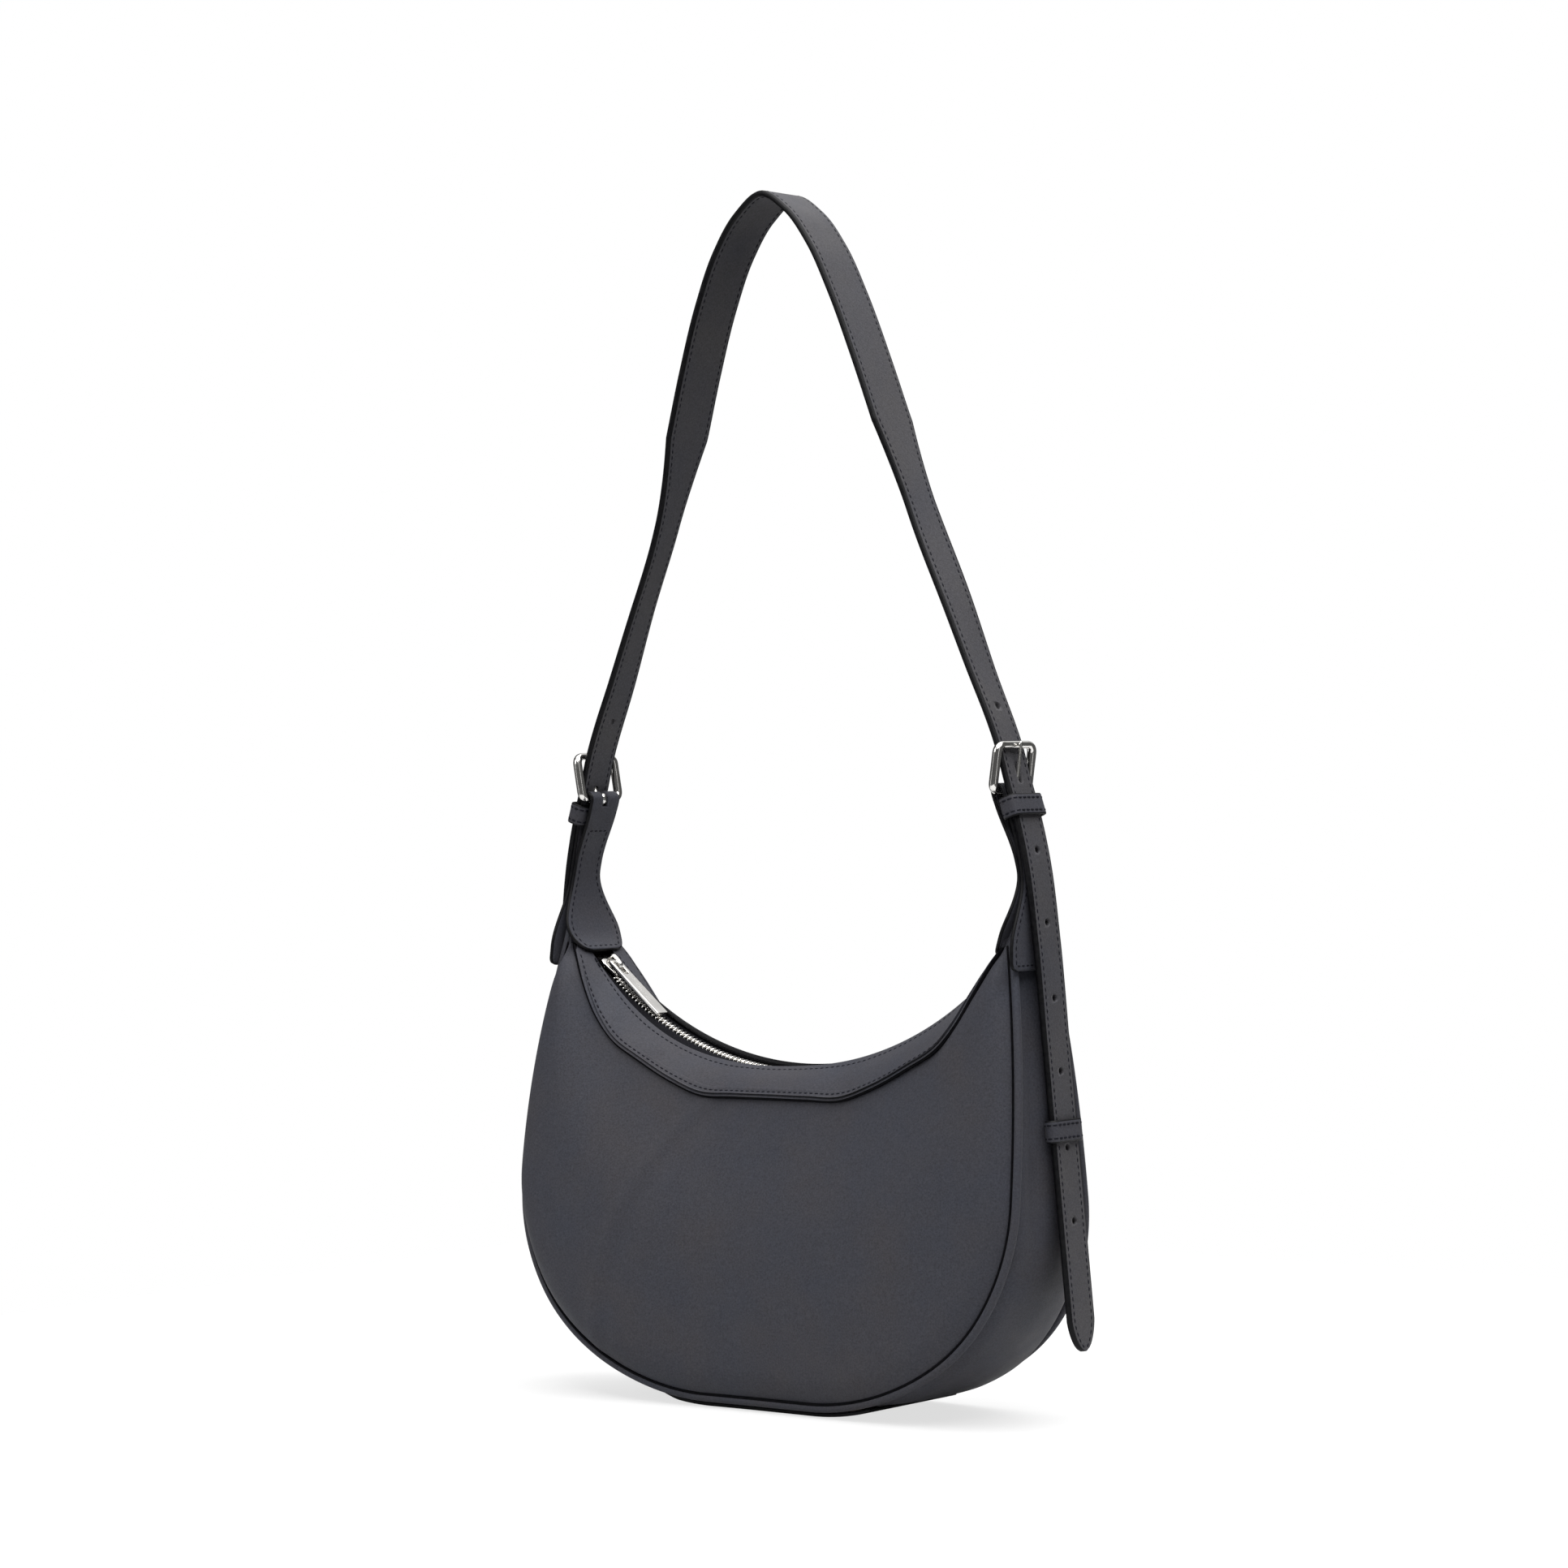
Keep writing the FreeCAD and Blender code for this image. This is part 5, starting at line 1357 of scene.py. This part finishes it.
def tongue_way(change):
    """A cutter along the tongue's way through the strap, from its rest to its limit."""
    points = []
    for height in WAY_HEIGHTS:
        swing = height * math.tan(PRONG_SWING) / 2
        half = PRONG_WAY / 2 + max(0.0, swing)
        for step in range(WAY_STEPS):
            angle = 2 * math.pi * step / WAY_STEPS
            side = ACROSS * (PRONG_WAY / 2 * math.cos(angle))
            out = out_frame * (prong_offset + swing + half * math.sin(angle))
            points.append(change @ (heel + up_frame * height + out + side))
    return points, ring_faces(2, WAY_STEPS)


strap = band("strap_leather", STRAP_LINE, STRAP_HALVES, -STRAP_THICK / 2, STRAP_THICK / 2,
             [strap_tone_and_painted_light, black_edge], turns=STRAP_TURNS, nodes=["strap_outer", "strap_lining"])
holes = [tongue_way(Matrix.Identity(4)), tongue_way(LEFT_SIDE)]
for side in (1, -1):
    for number in [-1] + list(range(1, TAIL_HOLES + 1)):
        length = prong_crossing() + number * STRAP_HOLE_PITCH
        place = nearest(STRAP_LENGTHS, length if side > 0 else STRAP_LENGTHS[-1] - length)
        run = STRAP_RUNS[place]
        out = ACROSS.cross(run)
        holes.append(oblong(STRAP_LINE[place], run, ACROSS, out, STRAP_HOLE, STRAP_HOLE, STRAP_THICK))
cut(strap, holes)
wide_enough = [number for number, half in enumerate(STRAP_HALVES) if half > 1.2 * STITCH_INSET]
rows = []
for height in (-STRAP_THICK / 2, STRAP_THICK / 2):
    rows += edge_rows(STRAP_LINE, STRAP_HALVES, height, (wide_enough[0], wide_enough[-1]), turns=STRAP_TURNS)
stitches("strap_stitching", rows)

# Keepers
KEEPER_CORNER = 0.0026
FINE_SPACING = 0.0008
KEEPER_ROW_INSET = 0.0022
KEEPER_ROW_LIFT = 0.00025


def loop(middle, long_way, half_long, half_wide, corner, steps, spacing):
    """A closed line round a rectangle with round corners: long_way is square to the y axis."""
    line = [middle + long_way * a + ACROSS * b for a, b in round_rim(half_long, half_wide, corner, steps)]
    return resample(line + line[:1], spacing)[:-1]


def keeper(name, spot, up, low, high, half_y, **where):
    """A leather loop with two rows of sewing round what spans low to high outwards and half_y each way."""
    out = outward(up)
    half_wall = KEEPER_WALL / 2
    clear = KEEPER_CLEARANCE + half_wall
    middle = spot + out * ((low + high) / 2)
    line = loop(middle, out, (high - low) / 2 + clear, half_y + clear, KEEPER_CORNER, 8, FINE_SPACING)
    band(name + "_loop", line, [KEEPER_HEIGHT / 2] * len(line), -half_wall, half_wall, LEATHER, closed=True,
         wide=up, nodes=[name], **where)
    faces = [face for face, _ in strip_frames(tangents(line, True), wide=up)]
    if faces[0].dot(line[0] - spot) < 0:
        faces = [-face for face in faces]
    rows = []
    for way in (-1, 1):
        shift = up * (way * (KEEPER_HEIGHT / 2 - KEEPER_ROW_INSET))
        row = [at + shift + face * (half_wall + KEEPER_ROW_LIFT) for at, face in zip(line, faces)]
        rows.append((row, faces))
    stitches(name + "_stitching", rows, **where)


def reaches(line):
    """How far each point of a line lies out from the fixed keeper's middle, within that keeper's reach."""
    near = [spot - fixed_spot for spot in line if abs((spot - fixed_spot).dot(up_tab)) < KEEPER_HEIGHT]
    return [step.dot(out_tab) for step in near]


fixed_spot = heel - up_tab * FIXED_KEEPER_DROP
fixed_low = min(reaches([spot for spot in TAB_LINE if (spot - heel).dot(out_tab) > 0])) - TAB_THICK / 2
fixed_high = max(reaches([spot for spot in STRAP_LINE if spot.x > 0])) + STRAP_THICK / 2
tail_up = -Vector(joints["right_keeper_slide"]["axis"]).normalized()
keeper_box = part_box("right_floating_keeper")
loose_spot = (keeper_box[0] + keeper_box[1]) / 2
for side_name, change in HANDS:
    keeper(side_name + "_fixed_keeper", fixed_spot, up_tab, fixed_low, fixed_high, TAB_FOLD_HALF,
           change=change)
    loose_name = side_name + "_floating_keeper"
    keeper(loose_name, loose_spot, tail_up, -STRAP_THICK / 2, STRAP_THICK / 2, STRAP_NARROW_HALF,
           body=loose_name, change=change)

# Buckles
STOUT = 0.26
FRAME_SPACING = 0.0006
RING_WIRE = 0.0006
RING_STEPS = 28
RING_WIDTH = 2.3
TONGUE_STEPS = [(0.004, 0.85), (0.010, 1.0), (0.016, 1.0), (BUCKLE_PITCH - 0.001, 1.0),
                (BUCKLE_PITCH + bar_radius * 1.2, 0.95)]
TONGUE_TAPER = 0.28
TONGUE_WIDTH = 1.25


def buckle(side_name, change):
    """A bent bar frame with stouter sides, and its heel bar in the tab's fold."""
    middle = heel + up_frame * (BUCKLE_PITCH / 2)
    line = loop(middle, up_frame, BUCKLE_PITCH / 2, BUCKLE_HALF_WIDTH, BUCKLE_CORNER, 10, FRAME_SPACING)
    radii = [bar_radius * (1 + STOUT * smooth(4 * abs(spot.y) / BUCKLE_HALF_WIDTH - 3)) for spot in line]
    tube(side_name + "_buckle_frame", line, radii, metal, 20, closed=True, up=out_frame,
         nodes=[side_name + "_buckle"], change=change)


def prong(side_name, change):
    """A tapered tongue from its ring round the heel bar, through the strap, on to the top bar."""
    ring = []
    for step in range(RING_STEPS):
        angle = 2 * math.pi * step / RING_STEPS
        turn = up_frame * math.cos(angle) + out_frame * math.sin(angle)
        ring.append(heel + turn * (bar_radius + BAR_CLEARANCE + RING_WIRE))
    tube(side_name + "_prong_ring", ring, RING_WIRE, metal, 10, closed=True, flat=RING_WIDTH,
         body=side_name + "_prong", change=change)
    steps = [(0.0, RING_WIRE)] + [(rise, prong_offset * share) for rise, share in TONGUE_STEPS]
    line = curve([heel + up_frame * a + out_frame * b for a, b in steps], FINE_SPACING)
    count = len(line)
    radii = [PRONG_THICK / 2 * (1.0 - TONGUE_TAPER * smooth(number / count)) for number in range(count)]
    radii[-1] *= 0.35
    radii[-2] *= 0.8
    tube(side_name + "_prong_tongue", line, radii, metal, 14, flat=TONGUE_WIDTH, body=side_name + "_prong",
         nodes=[side_name + "_prong"], change=change)


for side_name, change in HANDS:
    buckle(side_name, change)
    prong(side_name, change)

# Studio
CAMERA_SPOT = Vector((1.266852, -1.547645, 0.293609))
CAMERA_AZIMUTH = math.radians(39.481)
CAMERA_PITCH = math.radians(-0.169)
CAMERA_ROLL = math.radians(-1.11)
IMAGE_SIDE = 1932
FOCAL_PIXELS = 5082.964
SENSOR = 36.0
ROOM_LIGHT = 0.09
FLOOR_HALF = 0.62
FLOOR_DROP = 0.0003
FLOOR_GLOW = 0.71
FLOOR_BOUNCE = 0.6
WHITE = (1, 1, 1, 1)


def camera():
    """The camera at the photograph's place."""
    data = bpy.data.cameras.new("camera")
    data.sensor_fit = "HORIZONTAL"
    data.sensor_width = SENSOR
    data.lens = FOCAL_PIXELS / IMAGE_SIDE * SENSOR
    data.clip_start = 0.05
    data.clip_end = 50.0
    back = Vector((math.sin(CAMERA_AZIMUTH) * math.cos(CAMERA_PITCH),
                   -math.cos(CAMERA_AZIMUTH) * math.cos(CAMERA_PITCH), math.sin(CAMERA_PITCH)))
    right = Vector((math.cos(CAMERA_AZIMUTH), math.sin(CAMERA_AZIMUTH), 0))
    up = back.cross(right)
    turned_right = right * math.cos(CAMERA_ROLL) + up * math.sin(CAMERA_ROLL)
    turned_up = up * math.cos(CAMERA_ROLL) - right * math.sin(CAMERA_ROLL)
    thing = place_object("camera", data)
    thing.matrix_world = set_frame(CAMERA_SPOT, turned_right, turned_up, back)
    bpy.context.scene.camera = thing


def camera_sees(tree, seen, other, surface):
    """Shows one shader to the camera and another to all other rays."""
    rays = tree.nodes.new("ShaderNodeLightPath")
    mix = tree.nodes.new("ShaderNodeMixShader")
    tree.links.new(rays.outputs["Is Camera Ray"], mix.inputs["Fac"])
    tree.links.new(other, mix.inputs[1])
    tree.links.new(seen, mix.inputs[2])
    tree.links.new(mix.outputs["Shader"], surface)


def floor():
    """A plain pale floor, which throws less light back on the bag than the camera sees."""
    paint, bsdf, tree, spots = shader("pale_floor")
    grain = texture(tree, "Noise", spots, Scale=3.0, Detail=2.0)
    vary(tree, grain, [(0.3, 0.25), (0.7, 0.27)], bsdf.inputs["Base Color"])
    put(bsdf, {"Roughness": 0.8, "Specular IOR Level": 0.1, "Emission Color": WHITE,
               "Emission Strength": FLOOR_GLOW})
    dull = tree.nodes.new("ShaderNodeBsdfDiffuse")
    put(dull, {"Color": (FLOOR_BOUNCE, FLOOR_BOUNCE, FLOOR_BOUNCE, 1)})
    camera_sees(tree, bsdf.outputs["BSDF"], dull.outputs["BSDF"],
                tree.nodes["Material Output"].inputs["Surface"])
    mesh = bpy.data.meshes.new("floor")
    corners = [(FLOOR_HALF * a, FLOOR_HALF * b, -FLOOR_DROP)
               for a, b in ((-1, -1), (1, -1), (1, 1), (-1, 1))]
    mesh.from_pydata(corners, [], [(0, 1, 2, 3)])
    mesh.materials.append(paint)
    place_object("floor", mesh)


def area_light(name, spot, target, width, height, power, diffuse=True, glossy=True):
    """A soft box that looks at a point. It can be left out of the dull or of the glossy light."""
    data = bpy.data.lights.new(name, "AREA")
    data.shape = "RECTANGLE"
    data.size = width
    data.size_y = height
    data.energy = power
    thing = place_object(name, data)
    thing.location = spot
    thing.rotation_euler = (Vector(target) - Vector(spot)).to_track_quat("-Z", "Y").to_euler()
    thing.visible_diffuse = diffuse
    thing.visible_glossy = glossy


def studio():
    """A white backdrop, a wide soft light overhead, soft boxes and cards for the metal, in a dim room."""
    world = bpy.data.worlds.new("white_room")
    world.use_nodes = True
    tree = world.node_tree
    backdrop = tree.nodes["Background"]
    put(backdrop, {"Color": WHITE, "Strength": 1.0})
    room = tree.nodes.new("ShaderNodeBackground")
    put(room, {"Color": WHITE, "Strength": ROOM_LIGHT})
    camera_sees(tree, backdrop.outputs["Background"], room.outputs["Background"],
                tree.nodes["World Output"].inputs["Surface"])
    bpy.context.scene.world = world
    middle = (0, 0, 0.2)
    area_light("overhead", (0.6, -0.2, 2.3), (0, 0, 0), 3.0, 3.0, 132.0)
    area_light("right_card", (2.0, -0.4, 0.45), middle, 0.3, 1.8, 1.6, diffuse=False)
    area_light("left_card", (-1.2, -1.6, 0.5), middle, 0.3, 1.8, 1.6, diffuse=False)
    area_light("key", (-1.0, -2.2, 1.6), middle, 1.6, 1.6, 17.0)
    area_light("behind", (-0.6, 2.0, 1.9), middle, 2.2, 1.6, 17.0, glossy=False)
    area_light("behind_card", (-0.57, 1.9, 1.81), middle, 2.2, 1.6, 7.0, diffuse=False)
    bpy.context.scene.view_settings.view_transform = "Standard"


camera()
floor()
studio()
